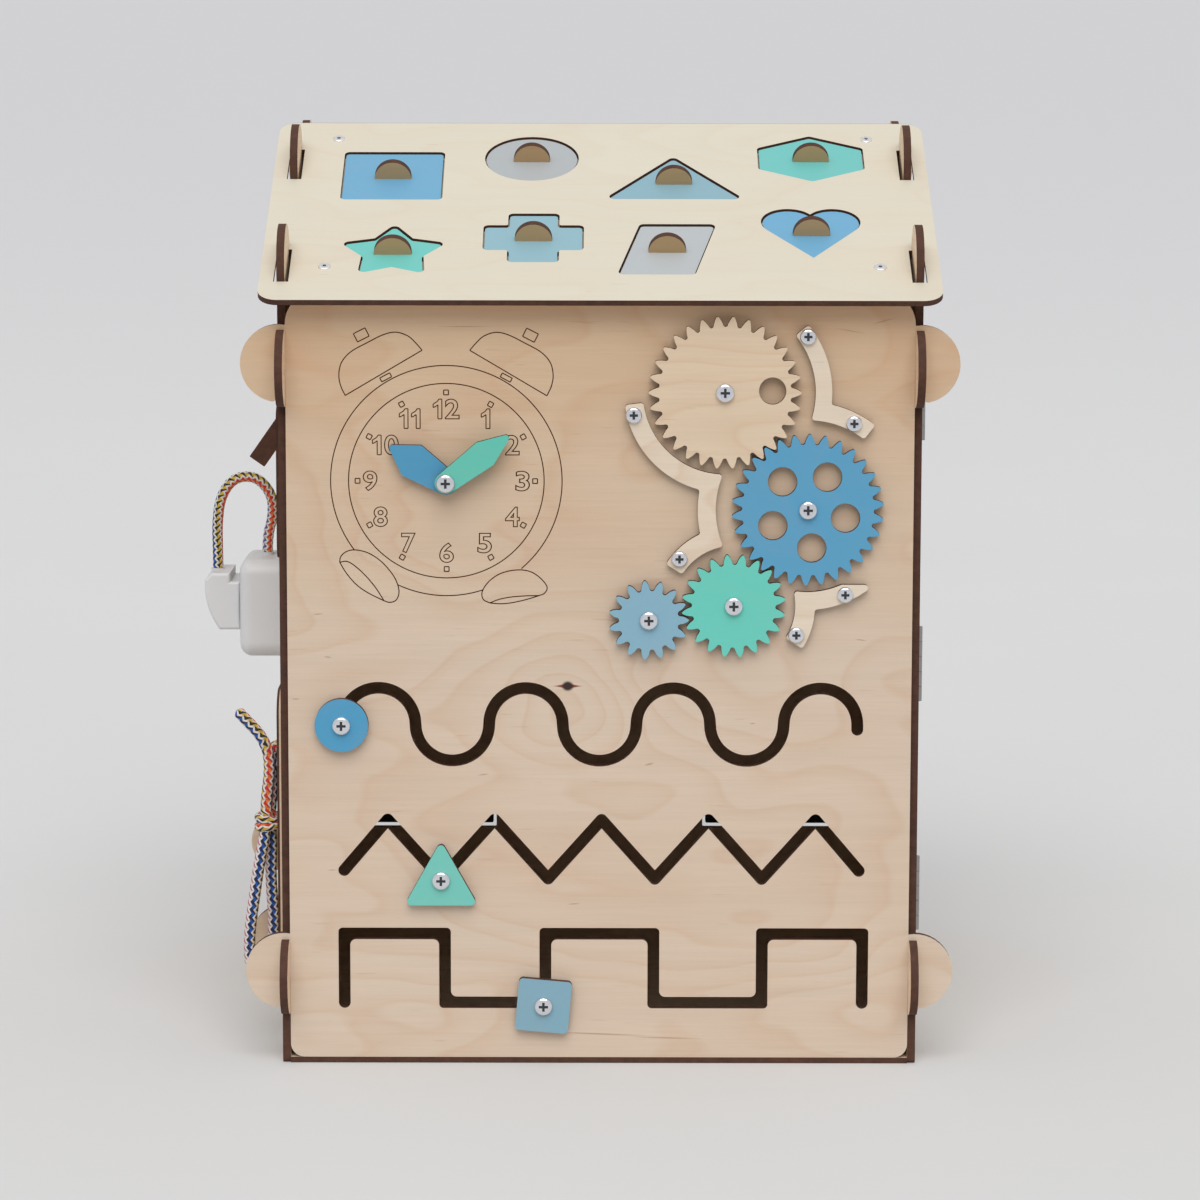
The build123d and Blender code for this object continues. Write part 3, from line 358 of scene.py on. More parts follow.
def growth_lines(skin, place, from_knot):
    """Dark at the end of each year: where a stretched noise passes a whole number, fading on one side.

    A knot adds a smooth hill to the noise, 1 over 1 plus the square of the distance, so that the lines
    run round it.
    """
    height = figure(skin, place, *YEARS)
    if from_knot is not None:
        away = skin.distance(skin.moved(from_knot, Scale=HILL))
        hill = skin.math("DIVIDE", 1.0, skin.math("MULTIPLY_ADD", away, away, 1.0))
        height = skin.math("MULTIPLY_ADD", hill, HILL_RISE, height)
    years = skin.math("FRACT", skin.math("MULTIPLY", height, YEARS_IN_NOISE))
    return skin.ramp(years, [(0.0, 0.9), (0.10, 0.50), (0.45, 0.08), (0.88, 0.0), (1.0, 0.9)])


def knot_eye(skin, colour, from_knot):
    """A dark round eye between two pointed red-brown flanks along the grain.

    The flanks lie where the square root of the offset along the grain plus the offset across it, each
    over its own reach, is less than 1.
    """
    wood = bpy.context.scene.busybox_wood
    offset = skin.axes(from_knot)
    along, across = (skin.math("DIVIDE", skin.math("ABSOLUTE", offset[axis]), reach * MM)
                     for axis, reach in enumerate(KNOT_FLANK))
    pointed = skin.math("ADD", skin.math("SQRT", along), across)
    flank = skin.ramp(pointed, [(0.80, 1.0), (1.0, 0.0)])
    away = skin.distance(skin.moved(from_knot, Scale=[1 / (reach * MM) for reach in KNOT_EYE] + [0.0]))
    eye = skin.ramp(away, [(0.60, 1.0), (1.0, 0.0)])
    return skin.mix(eye, skin.mix(flank, colour, linear(wood.flank)), linear(wood.knot))


def facing(skin, component, sign=None):
    """1 where this part of the normal is large, on both sides or on the one that the sign gives."""
    part = skin.math("ABSOLUTE", component) if sign is None else skin.math("MULTIPLY", component, sign)
    return skin.math("GREATER_THAN", part, FACE_ON)


def with_cleats(skin, on_face, out, normal):
    """Where faces show on the lacing board: those of its cleats are crossways to those of the sheet."""
    beyond = skin.math("LESS_THAN", out, BOARD_X - CLEAT_ROOM)
    backing = skin.math("GREATER_THAN", out, BOARD_X + LACING_BURN)
    on_sheet = skin.math("MAXIMUM", skin.math("SUBTRACT", on_face, beyond), backing)
    on_cleat = skin.math("MULTIPLY", beyond, facing(skin, normal["X"]))
    return skin.math("MAXIMUM", on_sheet, on_cleat)


def plywood(name, directions, tint, shift=0.0, paint=0.0, knot=None, spots=(), tone=1.0, inner=0,
            cleats=False, mellow=None):
    """Birch plywood, bare or painted: figured faces and laser-burnt edges.

    The faces carry growth lines, fine fibres and short pores, which are noises drawn out along the grain.
    inner is the side that faces into the box, 1 or -1 along the sheet's own outward direction. With
    cleats the pieces that stand on the sheet have their faces crossways to it.
    """
    wood = bpy.context.scene.busybox_wood
    line_colour, fleck_colour = linear(wood.line), linear(wood.fleck)
    skin = Surface(name)
    normal = skin.axes(skin.turned(skin.coordinates["Normal"], *directions))
    on_face = facing(skin, normal["Z"])
    own_place = skin.turned(skin.place, *directions)
    if cleats:
        on_face = with_cleats(skin, on_face, skin.axes(own_place)["Z"], normal)
    place = skin.moved(own_place, Location=(shift, shift * 0.7, 0.0))
    from_knot = None
    if knot is not None:
        from_knot = skin.add("VectorMath", {0: place, 1: (*knot, 0.0)}, operation="SUBTRACT").outputs[0]
    bare, showing = linear(tint), 1.0 - PAINT_HIDES * paint
    strength = tone * showing
    # Inner faces take the inside colour, which carries painted light for the dim inside of the box
    if inner:
        bare = skin.mix(facing(skin, normal["Z"], float(inner)), bare, linear(wood.inside))
    patch = skin.ramp(figure(skin, place, *PATCHES), [(0.35, 0.0), (0.70, PATCH_SHOWS * strength)])
    line = skin.math("MULTIPLY", growth_lines(skin, place, from_knot), LINE_SHOWS * strength)
    lined = skin.mix(line, skin.mix(patch, bare, line_colour), line_colour)
    fibre = figure(skin, place, *FIBRES)
    shade = skin.ramp(fibre, [(0.30, 1.0 - FIBRE_SHADE * strength), (0.70, 1.0)])
    broad = skin.ramp(figure(skin, place, *STREAKS), [(0.30, 1.0 - STREAK_SHADE * strength), (0.65, 1.0)])
    pore = skin.ramp(figure(skin, place, *PORES), [(0.74, 0.0), (0.80, 1.0)])
    colour = skin.mix(skin.math("MULTIPLY", pore, PORE_SHOWS * showing), skin.product(lined, shade, broad),
                      fleck_colour)
    # Painted shade: darker and warmer towards the top of the front wall, standing in for the eave's shade and
    # the warm light it throws back
    if mellow is not None:
        height = skin.ranged(skin.axes(place)["Y"], mellow)
        colour = skin.mix(height, colour, linear(wood.mellow), "MULTIPLY")
    if spots:
        marked = skin.math("MULTIPLY", flecks(skin, place, spots), MARK_SHOWS)
        colour = skin.mix(marked, colour, fleck_colour)
    if from_knot is not None:
        colour = knot_eye(skin, colour, from_knot)
    char = skin.ramp(skin.noise(place, 240.0, 4.0, 0.6), [(0.3, 0.75), (0.7, 1.25)])
    colour = skin.mix(on_face, skin.product(linear(wood.burnt), char), colour)
    roughness = skin.ranged(on_face, end=(0.85, 0.50 - 0.06 * paint))
    return skin.finish(colour, roughness, fibre, relief=0.00006 * (1.0 - 0.5 * paint))


def metal(name, tint, roughness):
    """Plated metal with faint rubbing marks in its gloss."""
    skin = Surface(name)
    rubbed = skin.noise(skin.place, 900.0, 3.0, 0.6)
    gloss = skin.ranged(rubbed, end=(roughness * 0.7, roughness * 1.4))
    return skin.finish(skin.clouded(rubbed, tint, 1.08), gloss, metallic=1.0)


def plastic(name, tint):
    """Moulded plastic with a very fine spark finish."""
    skin = Surface(name)
    cloudy = skin.clouded(skin.noise(skin.place, 30.0), tint, 0.97)
    return skin.finish(cloudy, 0.42, skin.noise(skin.place, 2500.0), relief=0.00002)


def braid(name, pairs):
    """Braided yarn: zigzag columns along the cord, a two-coloured one and a white one by turns.

    The piece's UV map counts the columns round the cord, swaying from side to side, and the cells along
    it. The part of U after its whole number is the place across a coloured column and its white one.
    The two colours of a column take turns along it, split aslant.
    """
    cord = bpy.context.scene.busybox_cord
    skin = Surface(name)
    uv = skin.axes(skin.coordinates["UV"])
    count = len(pairs)
    number = skin.math("FLOOR", skin.math("FLOORED_MODULO", uv["X"], float(count)))
    across = skin.math("FRACT", uv["X"])
    at_column = skin.math("DIVIDE", skin.math("ADD", number, 0.5), float(count))
    dark, light = (skin.ramp(at_column, [(column / count, linear(getattr(cord, yarn)))
                                         for column, yarn in enumerate(yarns)], "CONSTANT")
                   for yarns in zip(*pairs))
    aslant = skin.math("FRACT", skin.math("MULTIPLY_ADD", across, -0.9, uv["Y"]))
    coloured = skin.mix(skin.math("GREATER_THAN", aslant, 0.58), dark, light)
    colour = skin.mix(skin.math("LESS_THAN", across, cord.share), linear(cord.white), coloured)
    seam = skin.apart(skin.math("FRACT", uv["Y"]), 0.5)
    seam_shade = skin.ramp(seam, [(0.36, 1.0), (0.50, 0.62)])
    rim = skin.apart(skin.apart(across, cord.share / 2), cord.share / 2)
    rim_shade = skin.ramp(rim, [(0.0, 0.62), (0.09, 1.0)])
    fluff = skin.noise(skin.place, 3000.0, 3.0, 0.7)
    shade = skin.ramp(fluff, [(0.25, 0.82), (0.75, 1.0)])
    skin.shader.inputs["Sheen Weight"].default_value = 0.2
    return skin.finish(skin.product(colour, shade, seam_shade, rim_shade), 0.85, fluff, relief=0.00012)


def scorched(name, tint):
    """The brown bottom of an engraved line."""
    skin = Surface(name)
    burn = skin.ramp(skin.noise(skin.place, 500.0, 2.0, 0.6), [(0.35, 0.0), (0.65, 1.0)])
    skin.shader.inputs["Specular IOR Level"].default_value = 0.1
    return skin.finish(skin.clouded(burn, tint, 0.82), 0.9)


def dress(material, *nodes):
    """Gives CAD pieces one material all over."""
    for node in nodes:
        mesh = frame["nodes"][node].data
        mesh.materials.clear()
        mesh.materials.append(material)


def wooden(directions, tint, shift, *nodes, **look):
    """Gives CAD pieces plywood of one sheet, whose figure starts at this shift."""
    dress(plywood(nodes[0] + "_wood", directions, tint, shift, **look), *nodes)


# ---- meshes

def smooth_path(points, samples):
    """Curve through the points: on each run, the cubic whose end slopes are half the neighbours' gap."""
    knots = np.asarray(points, dtype=float)
    padded = np.vstack([2 * knots[0] - knots[1], knots, 2 * knots[-1] - knots[-2]])[:, None, :]
    before, begin, finish, last = padded[:-3], padded[1:-2], padded[2:-1], padded[3:]
    t = np.linspace(0.0, 1.0, samples, endpoint=False)[None, :, None]
    slope_in, slope_out = (finish - before) / 2, (last - begin) / 2
    curve = ((2 * t**3 - 3 * t**2 + 1) * begin + (t**3 - 2 * t**2 + t) * slope_in
             + (3 * t**2 - 2 * t**3) * finish + (t**3 - t**2) * slope_out)
    return np.vstack([curve.reshape(-1, knots.shape[1]), knots[-1:]])


def grid_faces(rows, columns, wrap_rows=False, wrap_columns=False):
    """Quads of a grid whose vertices are numbered row by row."""
    i = np.arange(rows if wrap_rows else rows - 1)[:, None]
    j = np.arange(columns if wrap_columns else columns - 1)[None, :]
    next_i, next_j = (i + 1) % rows, (j + 1) % columns
    corners = (i * columns + j, i * columns + next_j, next_i * columns + next_j, next_i * columns + j)
    return np.stack(np.broadcast_arrays(*corners), axis=-1).reshape(-1, 4)


def joined(pieces):
    """Vertices and faces of several pieces, each given as its vertices and its faces, as those of one."""
    vertices, faces = [], []
    for points, polygons in pieces:
        faces += [[index + len(vertices) for index in polygon] for polygon in polygons]
        vertices += points.tolist()
    return np.array(vertices), faces


def mesh_points(mesh):
    points = np.empty(len(mesh.vertices) * 3)
    mesh.vertices.foreach_get("co", points)
    return points.reshape(-1, 3)


def curve_mesh(curve):
    """Vertices and faces of a curve's own mesh. The curve itself is taken away."""
    carrier = bpy.data.objects.new(curve.name, curve)
    mesh = bpy.data.meshes.new_from_object(carrier)
    points, faces = mesh_points(mesh), [list(polygon.vertices) for polygon in mesh.polygons]
    bpy.data.objects.remove(carrier)
    bpy.data.meshes.remove(mesh)
    bpy.data.curves.remove(curve)
    return points, faces


def place_object(name, data):
    made = bpy.data.objects.new(name, data)
    bpy.context.scene.collection.objects.link(made)
    return made


def new_mesh_object(name, vertices, faces, material, uv=None, smooth=True):
    """Object at the origin from arrays of vertices and of faces, with an optional UV for each corner."""
    mesh = bpy.data.meshes.new(name)
    mesh.from_pydata(vertices.tolist(), [], [list(face) for face in faces])
    if uv is not None:
        layer = mesh.uv_layers.new(name="UVMap")
        layer.data.foreach_set("uv", np.asarray(uv, dtype=np.float32).ravel())
    mesh.polygons.foreach_set("use_smooth", [smooth] * len(mesh.polygons))
    mesh.materials.append(material)
    mesh.validate()
    mesh.update()
    return place_object(name, mesh)


def line_strip(path, width, closed=False):
    """Flat strip in the plane of the dial: the path moved half a width to its left and to its right.

    The sideways direction at a point is its slope, the difference of its two neighbours, turned a
    quarter turn. Returns vertices (x, z) and faces that look out of the wall.
    """
    path = np.asarray(path, dtype=float)
    slope = np.roll(path, -1, axis=0) - np.roll(path, 1, axis=0) if closed else np.gradient(path, axis=0)
    sideways = np.stack([-slope[:, 1], slope[:, 0]], axis=1)
    sideways *= width / 2 / np.linalg.norm(sideways, axis=1, keepdims=True)
    vertices = np.stack([path + sideways, path - sideways], axis=1).reshape(-1, 2)
    return vertices, grid_faces(len(path), 2, wrap_rows=closed)[:, ::-1]


def run_lengths(path):
    """How far along the path each of its points is."""
    return np.concatenate([[0.0], np.cumsum(np.linalg.norm(np.diff(path, axis=0), axis=1))])


# Relief of a braid: how deep the seams between cells and between columns go, as shares
CELL_SEAM, COLUMN_SEAM = 0.30, 0.08
END_REACH, END_LEAST = 0.8, 0.02               # a cord's rounded end: its length in radii, and its tip


def tube_along(path, radius, around, cell, columns, hand=1, turn=((0.0, 0.0),), sway=0.0, caps=True):
    """Round tube along a path of points, with rounded ends and a braid's relief.

    Across direction at each point: the last one less its part along the path's slope. A point of the
    surface is the path's point plus the radius times cos(angle) of one across direction and sin(angle)
    of the other. A zigzag column is the count of columns round the cord, plus the turn at this share of
    the length, plus a triangle wave of the length in cells. The radius falls with the sine of the count
    and of the length. Returns vertices, faces and each face corner's UV: column count, length in cells.
    """
    slope = np.gradient(path, axis=0)
    slope /= np.linalg.norm(slope, axis=1, keepdims=True)
    first = np.cross(slope[0], INWARDS)
    across = [first / np.linalg.norm(first)]
    for direction in slope[1:]:
        carried = across[-1] - direction * np.dot(across[-1], direction)
        across.append(carried / np.linalg.norm(carried))
    across = np.array(across)
    other = np.cross(slope, across)
    run = run_lengths(path)
    cells = run / cell
    shift = np.interp(run / run[-1], *zip(*turn)) * columns
    zigzag = sway * (1.0 - 4.0 * np.abs(np.mod(cells, 1.0) - 0.5))
    seams = np.arange(around + 1) / around
    count = columns * hand * seams[None, :] + (shift + zigzag)[:, None]
    seam = 1.0 - CELL_SEAM + CELL_SEAM * np.abs(np.sin(np.pi * cells))[:, None]
    ridge = np.abs(np.sin(2 * np.pi * count[:, :-1])) * seam
    reach = radius * (1.0 - COLUMN_SEAM + COLUMN_SEAM * ridge)
    if caps:
        from_end = np.clip(np.minimum(run, run[-1] - run) / (radius * END_REACH), 0, 1)
        reach = reach * np.sqrt(np.clip(1 - (1 - from_end) ** 2, END_LEAST, 1))[:, None]
    angle = 2 * np.pi * seams[:-1]
    points = (path[:, None, :] + reach[:, :, None]
              * (np.cos(angle)[None, :, None] * across[:, None, :]
                 + np.sin(angle)[None, :, None] * other[:, None, :]))
    faces = grid_faces(len(path), around, wrap_columns=True)
    row, column = np.divmod(np.arange(len(faces)), around)
    corners = np.stack([np.stack([count[row + i, column + j], cells[row + i]], axis=1)
                        for i, j in ((0, 0), (0, 1), (1, 1), (1, 0))], axis=1)
    ends = [list(range(around))[::-1], list(range((len(path) - 1) * around, len(path) * around))]
    end_uv = [np.full((around, 2), (0.8, cells[end])) for end in (0, -1)]
    return points.reshape(-1, 3), faces.tolist() + ends, np.vstack([corners.reshape(-1, 2), *end_uv])


# ---- pieces of wood

class BUSYBOX_OT_walls(Operator):
    """Walls, floor and doors in birch plywood with burnt edges"""
    bl_idname = "busybox.walls"
    bl_label = "Walls and doors"

    def execute(self, context):
        wood = context.scene.busybox_wood
        wooden(FACING_FRONT, wood.wall, 0.0, "front_wall", knot=wood.knot_place, spots=WALL_MARKS,
               inner=-1, mellow=EAVE_SHADE_HEIGHTS)
        wooden(FACING_FRONT, wood.wall, 0.83, "back_wall", inner=1)
        wooden(LEVEL, wood.wall, 1.7, "floor_panel", inner=1)
        for number, (node, inner) in enumerate(SIDE_SHEETS.items()):
            wooden(FACING_SIDE, wood.side, 2.3 + 0.61 * number, node, inner=inner)
        return {"FINISHED"}


class BUSYBOX_OT_roof(Operator):
    """Roof sheets, sorter tray and rivets"""
    bl_idname = "busybox.roof"
    bl_label = "Roof"

    def execute(self, context):
        roof = context.scene.busybox_wood.roof
        wooden(ON_ROOF, roof, 5.1, "roof_front", tone=0.35, inner=-1)
        wooden(ON_BACK_ROOF, roof, 6.4, "roof_back", tone=0.35, inner=1)
        wooden(ON_ROOF, roof, 7.2, "sorter_tray")
        dress(metal("rivet_aluminium", (0.93, 0.93, 0.94), 0.38), "roof_rivets")
        return {"FINISHED"}


class BUSYBOX_OT_shapes(Operator):
    """Painted roof shapes and their half-round knobs"""
    bl_idname = "busybox.shapes"
    bl_label = "Roof shapes"

    def execute(self, context):
        wood, paint = context.scene.busybox_wood, context.scene.busybox_paint
        for number, shape in enumerate(SHAPES):
            wooden(ON_ROOF, getattr(paint, shape), 8.0 + number, "insert_" + shape, paint=1.0)
        # Knob birch is darker than the rest, partly painted shade on the knobs' faces
        wooden(ACROSS_ROOF, wood.knob, 9.2, *("knob_" + shape for shape in SHAPES))
        return {"FINISHED"}


class BUSYBOX_OT_gears(Operator):
    """The bare gear, the painted gears and the guide strips"""
    bl_idname = "busybox.gears"
    bl_label = "Gears"

    def execute(self, context):
        wood, paint = context.scene.busybox_wood, context.scene.busybox_paint
        wooden(FACING_FRONT, wood.gear, 11.0, "gear_plain")
        wooden(FACING_FRONT, wood.strip, 12.4, "guide_strip_left", "guide_strip_top", "guide_strip_low")
        for node in ("gear_blue", "gear_teal", "gear_small"):
            wooden(FACING_FRONT, getattr(paint, node), 13.0, node, paint=1.0)
        return {"FINISHED"}


class BUSYBOX_OT_sliders(Operator):
    """Caps that slide in the grooves, and the clock's hands"""
    bl_idname = "busybox.sliders"
    bl_label = "Caps and hands"

    def execute(self, context):
        paint = context.scene.busybox_paint
        for node in ("clock_hour_hand", "clock_minute_hand", *("slider_" + cap for cap in CAPS)):
            wooden(FACING_FRONT, getattr(paint, node), 15.0, node, paint=1.0)
        return {"FINISHED"}


class BUSYBOX_OT_side_toys(Operator):
    """Lever, its plate, the lacing board and the black window boards"""
    bl_idname = "busybox.side_toys"
    bl_label = "Side toys"

    def execute(self, context):
        side, black = context.scene.busybox_wood.side, context.scene.busybox_paint.window_boards
        wooden(FACING_SIDE, side, 17.0, "lever_plate")
        wooden(ALONG_LEVER, side, 18.0, "lever")
        wooden(FACING_SIDE, side, 19.0, "lacing_board", cleats=True)
        wooden(FACING_FRONT, black, 20.0, "window_boards", paint=1.0, tone=0.1)
        return {"FINISHED"}


# ---- metal and plastic

HEAD_OUT, HEAD_WIDTH, RIM_DEPTH = 3.5 * MM, 14.0 * MM, 1.0 * MM
LARGE_ARM, SMALL_ARM, RECESS_WIDTH = 2.33 * MM, 2.03 * MM, 1.26 * MM
RECESS_SECTIONS = ((1.0, 0.45 * MM), (0.92, 1.28 * MM))     # share of the size, depth below the head's top
RECESSES = (("recesses_fixed", "house", {"pivot_bolts": LARGE_ARM, "strip_screws": SMALL_ARM}),
            *(("recess_" + cap, "slider_" + cap, {f"slider_{cap}_bolt": LARGE_ARM}) for cap in CAPS))

LEAF_THICKNESS, LEAF_HEAD = 1.0 * MM, (2.6 * MM, 0.5 * MM)  # the head's radius and height
# Screws in a hinge leaf: share of its height, and distance from the pin
LEAF_SCREWS = ((0.18, 9.5 * MM), (0.5, 7.0 * MM), (0.82, 9.5 * MM))
# A countersunk head from its rim inwards: a flat rim, a slope and a hollow, as shares of radius and height
HEAD_PROFILE = ((1.0, 0.0), (1.0, 0.5), (0.85, 1.0), (0.45, 1.0), (0.30, 0.2), (0.0001, 0.2))
HEAD_AROUND = 20


class BUSYBOX_OT_fasteners(Operator):
    """Screws, washers, nuts, slider bolts and hinges"""
    bl_idname = "busybox.fasteners"
    bl_label = "Fasteners"

    def execute(self, context):
        dress(metal("bright_zinc", (0.86, 0.87, 0.89), 0.16), "pivot_bolts", "strip_screws",
              *(f"slider_{cap}_bolt" for cap in CAPS))
        dress(metal("hinge_steel", (0.60, 0.59, 0.58), 0.34), "hinge_frame_leaves",
              *("hinge_leaf_" + door for door in DOORS))
        return {"FINISHED"}


def screw_heads(node):
    """Middle (x, z) and top y of each screw head in a CAD piece.

    Vertices in front of the front wall belong to one head if they are less than its width apart.
    """
    points = mesh_points(frame["nodes"][node].data)
    points = points[points[:, 1] < FRONT_Y - HEAD_OUT]
    while len(points):
        near = np.linalg.norm(points[:, [0, 2]] - points[0, [0, 2]], axis=1) < HEAD_WIDTH
        head = points[near]
        top = head[:, 1].min()
        rim = head[head[:, 1] < top + RIM_DEPTH]
        x, _, z = (rim.min(axis=0) + rim.max(axis=0)) / 2
        yield (x, z), top
        points = points[~near]


def cross_prism(centre, top, arm):
    """Painted shade of a cross recess: a dark upright cross of two bars that narrows a little downwards."""
    a, b = arm, RECESS_WIDTH / 2
    outline = np.array([(a, -b), (a, b), (b, b), (b, a), (-b, a), (-b, b), (-a, b), (-a, -b), (-b, -b),
                        (-b, -a), (b, -a), (b, -b)])
    corners = len(outline)
    points = [np.column_stack([centre[0] + share * outline[:, 0], np.full(corners, top + depth),
                               centre[1] + share * outline[:, 1]]) for share, depth in RECESS_SECTIONS]
    sides = grid_faces(2, corners, wrap_columns=True).tolist()
    return np.vstack(points), sides + [list(range(corners)), list(range(corners, 2 * corners))[::-1]]


class BUSYBOX_OT_recesses(Operator):
    """Painted shade: dark crosses in the cross recesses of the screws"""
    bl_idname = "busybox.recesses"
    bl_label = "Screw recesses"

    def execute(self, context):
        # Painted shade: a dark, dull material stands in for the shadow inside each cross recess
        dark = plastic("recess_shadow", (40 / 255, 42 / 255, 48 / 255))
        for name, body, nodes in RECESSES:
            crosses = [cross_prism(*head, arm) for node, arm in nodes.items() for head in screw_heads(node)]
            made = new_mesh_object(name, *joined(crosses), dark, smooth=False)
            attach(made, body)
        return {"FINISHED"}


def leaf_head(centre):
    """Countersunk head on a hinge leaf: each point of the profile goes once round a line along +X."""
    profile = np.array(HEAD_PROFILE) * LEAF_HEAD
    angle = np.linspace(0.0, 2 * np.pi, HEAD_AROUND, endpoint=False)
    ring = np.stack([np.zeros(HEAD_AROUND), -np.cos(angle), -np.sin(angle)], axis=1)
    points = centre + profile[:, 1, None, None] * np.array(ACROSS) + profile[:, 0, None, None] * ring
    return points.reshape(-1, 3), grid_faces(len(profile), HEAD_AROUND, wrap_columns=True).tolist()


class BUSYBOX_OT_hinge_screws(Operator):
    """Three small screws in each hinge leaf"""
    bl_idname = "busybox.hinge_screws"
    bl_label = "Hinge screws"

    def execute(self, context):
        zinc = metal("hinge_screw_zinc", (0.80, 0.80, 0.81), 0.22)
        pin_y = next(joint["pos_m"][1] for joint in frame["joints"] if joint["name"] == "door_top_hinge")
        face_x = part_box("right_wall")[1].x + LEAF_THICKNESS
        for door in DOORS:
            low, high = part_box("hinge_leaf_" + door)
            for hand, side, body in ((1, "door", "door_" + door), (-1, "frame", "house")):
                heads = [leaf_head(np.array((face_x, pin_y + away * hand, low.z + share * (high.z - low.z))))
                         for share, away in LEAF_SCREWS]
                made = new_mesh_object(f"hinge_screws_{door}_{side}", *joined(heads), zinc)
                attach(made, body)
        return {"FINISHED"}


class BUSYBOX_OT_plug(Operator):
    """Socket, plug and its pins"""
    bl_idname = "busybox.plug"
    bl_label = "Socket and plug"

    def execute(self, context):
        dress(plastic("socket_plastic", (0.84, 0.84, 0.845)), "socket_housing", "plug_body")
        dress(metal("pin_nickel", (0.80, 0.78, 0.74), 0.2), "plug_pins")
        return {"FINISHED"}


# ---- the engraved dial: outlines in millimetres about its centre

BELL = [(-50.4, 42.9), (-52.6, 47.7), (-53.5, 53.2), (-52.1, 59.5), (-47.4, 64.8), (-39.5, 69.2),
        (-31.5, 73.2), (-25.1, 74.6), (-19.1, 72.8), (-15.1, 69.3), (-11.9, 65.6)]
# Each foot: its top, its sole and the welt between them
FEET = (
    [(-53.7, -41.2), (-53.2, -38.4), (-50.4, -35.8), (-45.9, -34.9), (-39.5, -36.4), (-33.5, -40.2),
     (-28.5, -45.5), (-25.3, -50.7), (-24.0, -56.2), (-25.4, -60.2), (-28.5, -61.5), (-31.5, -60.7)],
    [(-53.7, -41.2), (-50.4, -46.7), (-45.4, -52.5), (-39.5, -56.7), (-31.5, -60.7)],
    [(-53.7, -41.2), (-50.4, -40.7), (-46.9, -42.4), (-41.5, -47.2), (-36.0, -53.7), (-31.5, -60.7)],
    [(21.7, -61.7), (18.4, -59.9), (17.8, -56.2), (20.4, -51.7), (25.2, -47.7), (31.1, -45.5),
     (37.6, -44.9), (43.1, -46.2), (47.8, -49.7), (50.5, -53.7), (49.2, -56.7), (46.5, -57.9)],
    [(21.7, -61.7), (27.1, -62.1), (33.1, -61.5), (40.1, -59.9), (46.5, -57.9)],
    [(21.7, -61.7), (26.2, -59.9), (32.1, -58.7), (39.1, -58.1), (46.5, -57.9)],
)
# Corners of the digit 1, for a height of 1
ONE = [(0.24, 0.0), (0.44, 0.0), (0.44, 1.0), (0.29, 1.0), (0.21, 0.88), (0.0, 0.75), (0.0, 0.57),
       (0.12, 0.62), (0.24, 0.71)]
OUTER_RING_SHOWN = ((-49.7, 216.9), (245.0, 288.3))     # degrees; the feet hide the rest
# Middle, size and turn in degrees of the knob on a bell and of the link under it
BELL_BOXES = (((42.2, 73.2), (6.5, 4.6), -27.0), ((30.1, 52.0), (5.6, 2.2), -28.0))
FONT_SIZE = 1.37               # of a font whose digits are 1 high
PROUD, DIGIT_PROUD = 0.02 * MM, 0.1     # lines stand on the wall by this; digits by this share of their bevel


def arc_points(radius, start, end, count):
    """Points on a circle about the dial's centre, from one angle to another in degrees."""
    angle = np.radians(np.linspace(start, end, count))
    return np.stack([radius * np.cos(angle), radius * np.sin(angle)], axis=1)


def box_sides(centre, size, turn, scale=1.0):
    """The four sides of a rectangle about its centre, turned by an angle in degrees, then scaled."""
    corners = np.array([(-1, -1), (1, -1), (1, 1), (-1, 1), (-1, -1)]) * (np.array(size) / 2)
    c, s = math.cos(math.radians(turn)), math.sin(math.radians(turn))
    corners = (corners @ np.array([(c, s), (-s, c)]) + centre) * scale
    return [corners[n:n + 2] for n in range(4)]


def dial_paths(dial):
    """Every engraved line that has two ends, as points in metres about the dial's centre."""
    paths = [arc_points(dial.outer, start, end, 140) for start, end in OUTER_RING_SHOWN]
    paths += [smooth_path(points, 8) * MM for points in FEET]
    for side in (1, -1):
        mirror = np.array([side, 1.0]) * MM
        paths += [smooth_path(BELL, 8) * mirror, np.array([BELL[0], BELL[-1]]) * mirror]
        for box in BELL_BOXES:
            paths += box_sides(*box, mirror)
    for hour in range(12):
        angle = 90.0 - 30.0 * hour
        paths += box_sides(arc_points(dial.ticks, angle, angle, 1)[0], (dial.tick, dial.tick), angle)
    return paths


def digit_outline(text, dial):
    """Outline of a digit as the mesh of a text curve with no fill and a thin round bevel."""
    curve = bpy.data.curves.new("digit_" + text, "FONT")
    curve.body = text
    curve.size = dial.numeral * FONT_SIZE
    curve.fill_mode = "NONE"
    curve.offset = dial.widen
    curve.bevel_depth = dial.line / 2
    curve.bevel_resolution = 1
    return curve_mesh(curve)


def one_outline(dial):
    """Outline of the digit 1: a post whose flag falls away to the left."""
    corners = np.array(ONE) * dial.numeral
    strips = [line_strip(side, dial.line) for side in zip(corners, np.roll(corners, -1, axis=0))]
    return joined((np.column_stack([flat, np.full(len(flat), dial.line / 5)]), quads)
                  for flat, quads in strips)


def numeral_outline(text, dial):
    """Outlines of a numeral's digits side by side, about the numeral's own centre."""
    digits, right = [], 0.0
    for digit in text:
        made, quads = one_outline(dial) if digit == "1" else digit_outline(digit, dial)
        low, high = made.min(axis=0), made.max(axis=0)
        made[:, :2] = (made[:, :2] - low[:2]) * (dial.numeral / (high[1] - low[1]))
        if digit != "1":
            made[:, 0] *= dial.digit / made[:, 0].max()
        made[:, 0] += right
        right = made[:, 0].max() + dial.gap
        digits.append((made, quads))
    points, faces = joined(digits)
    points[:, :2] -= (points[:, :2].max(axis=0) + points[:, :2].min(axis=0)) / 2
    return points, faces


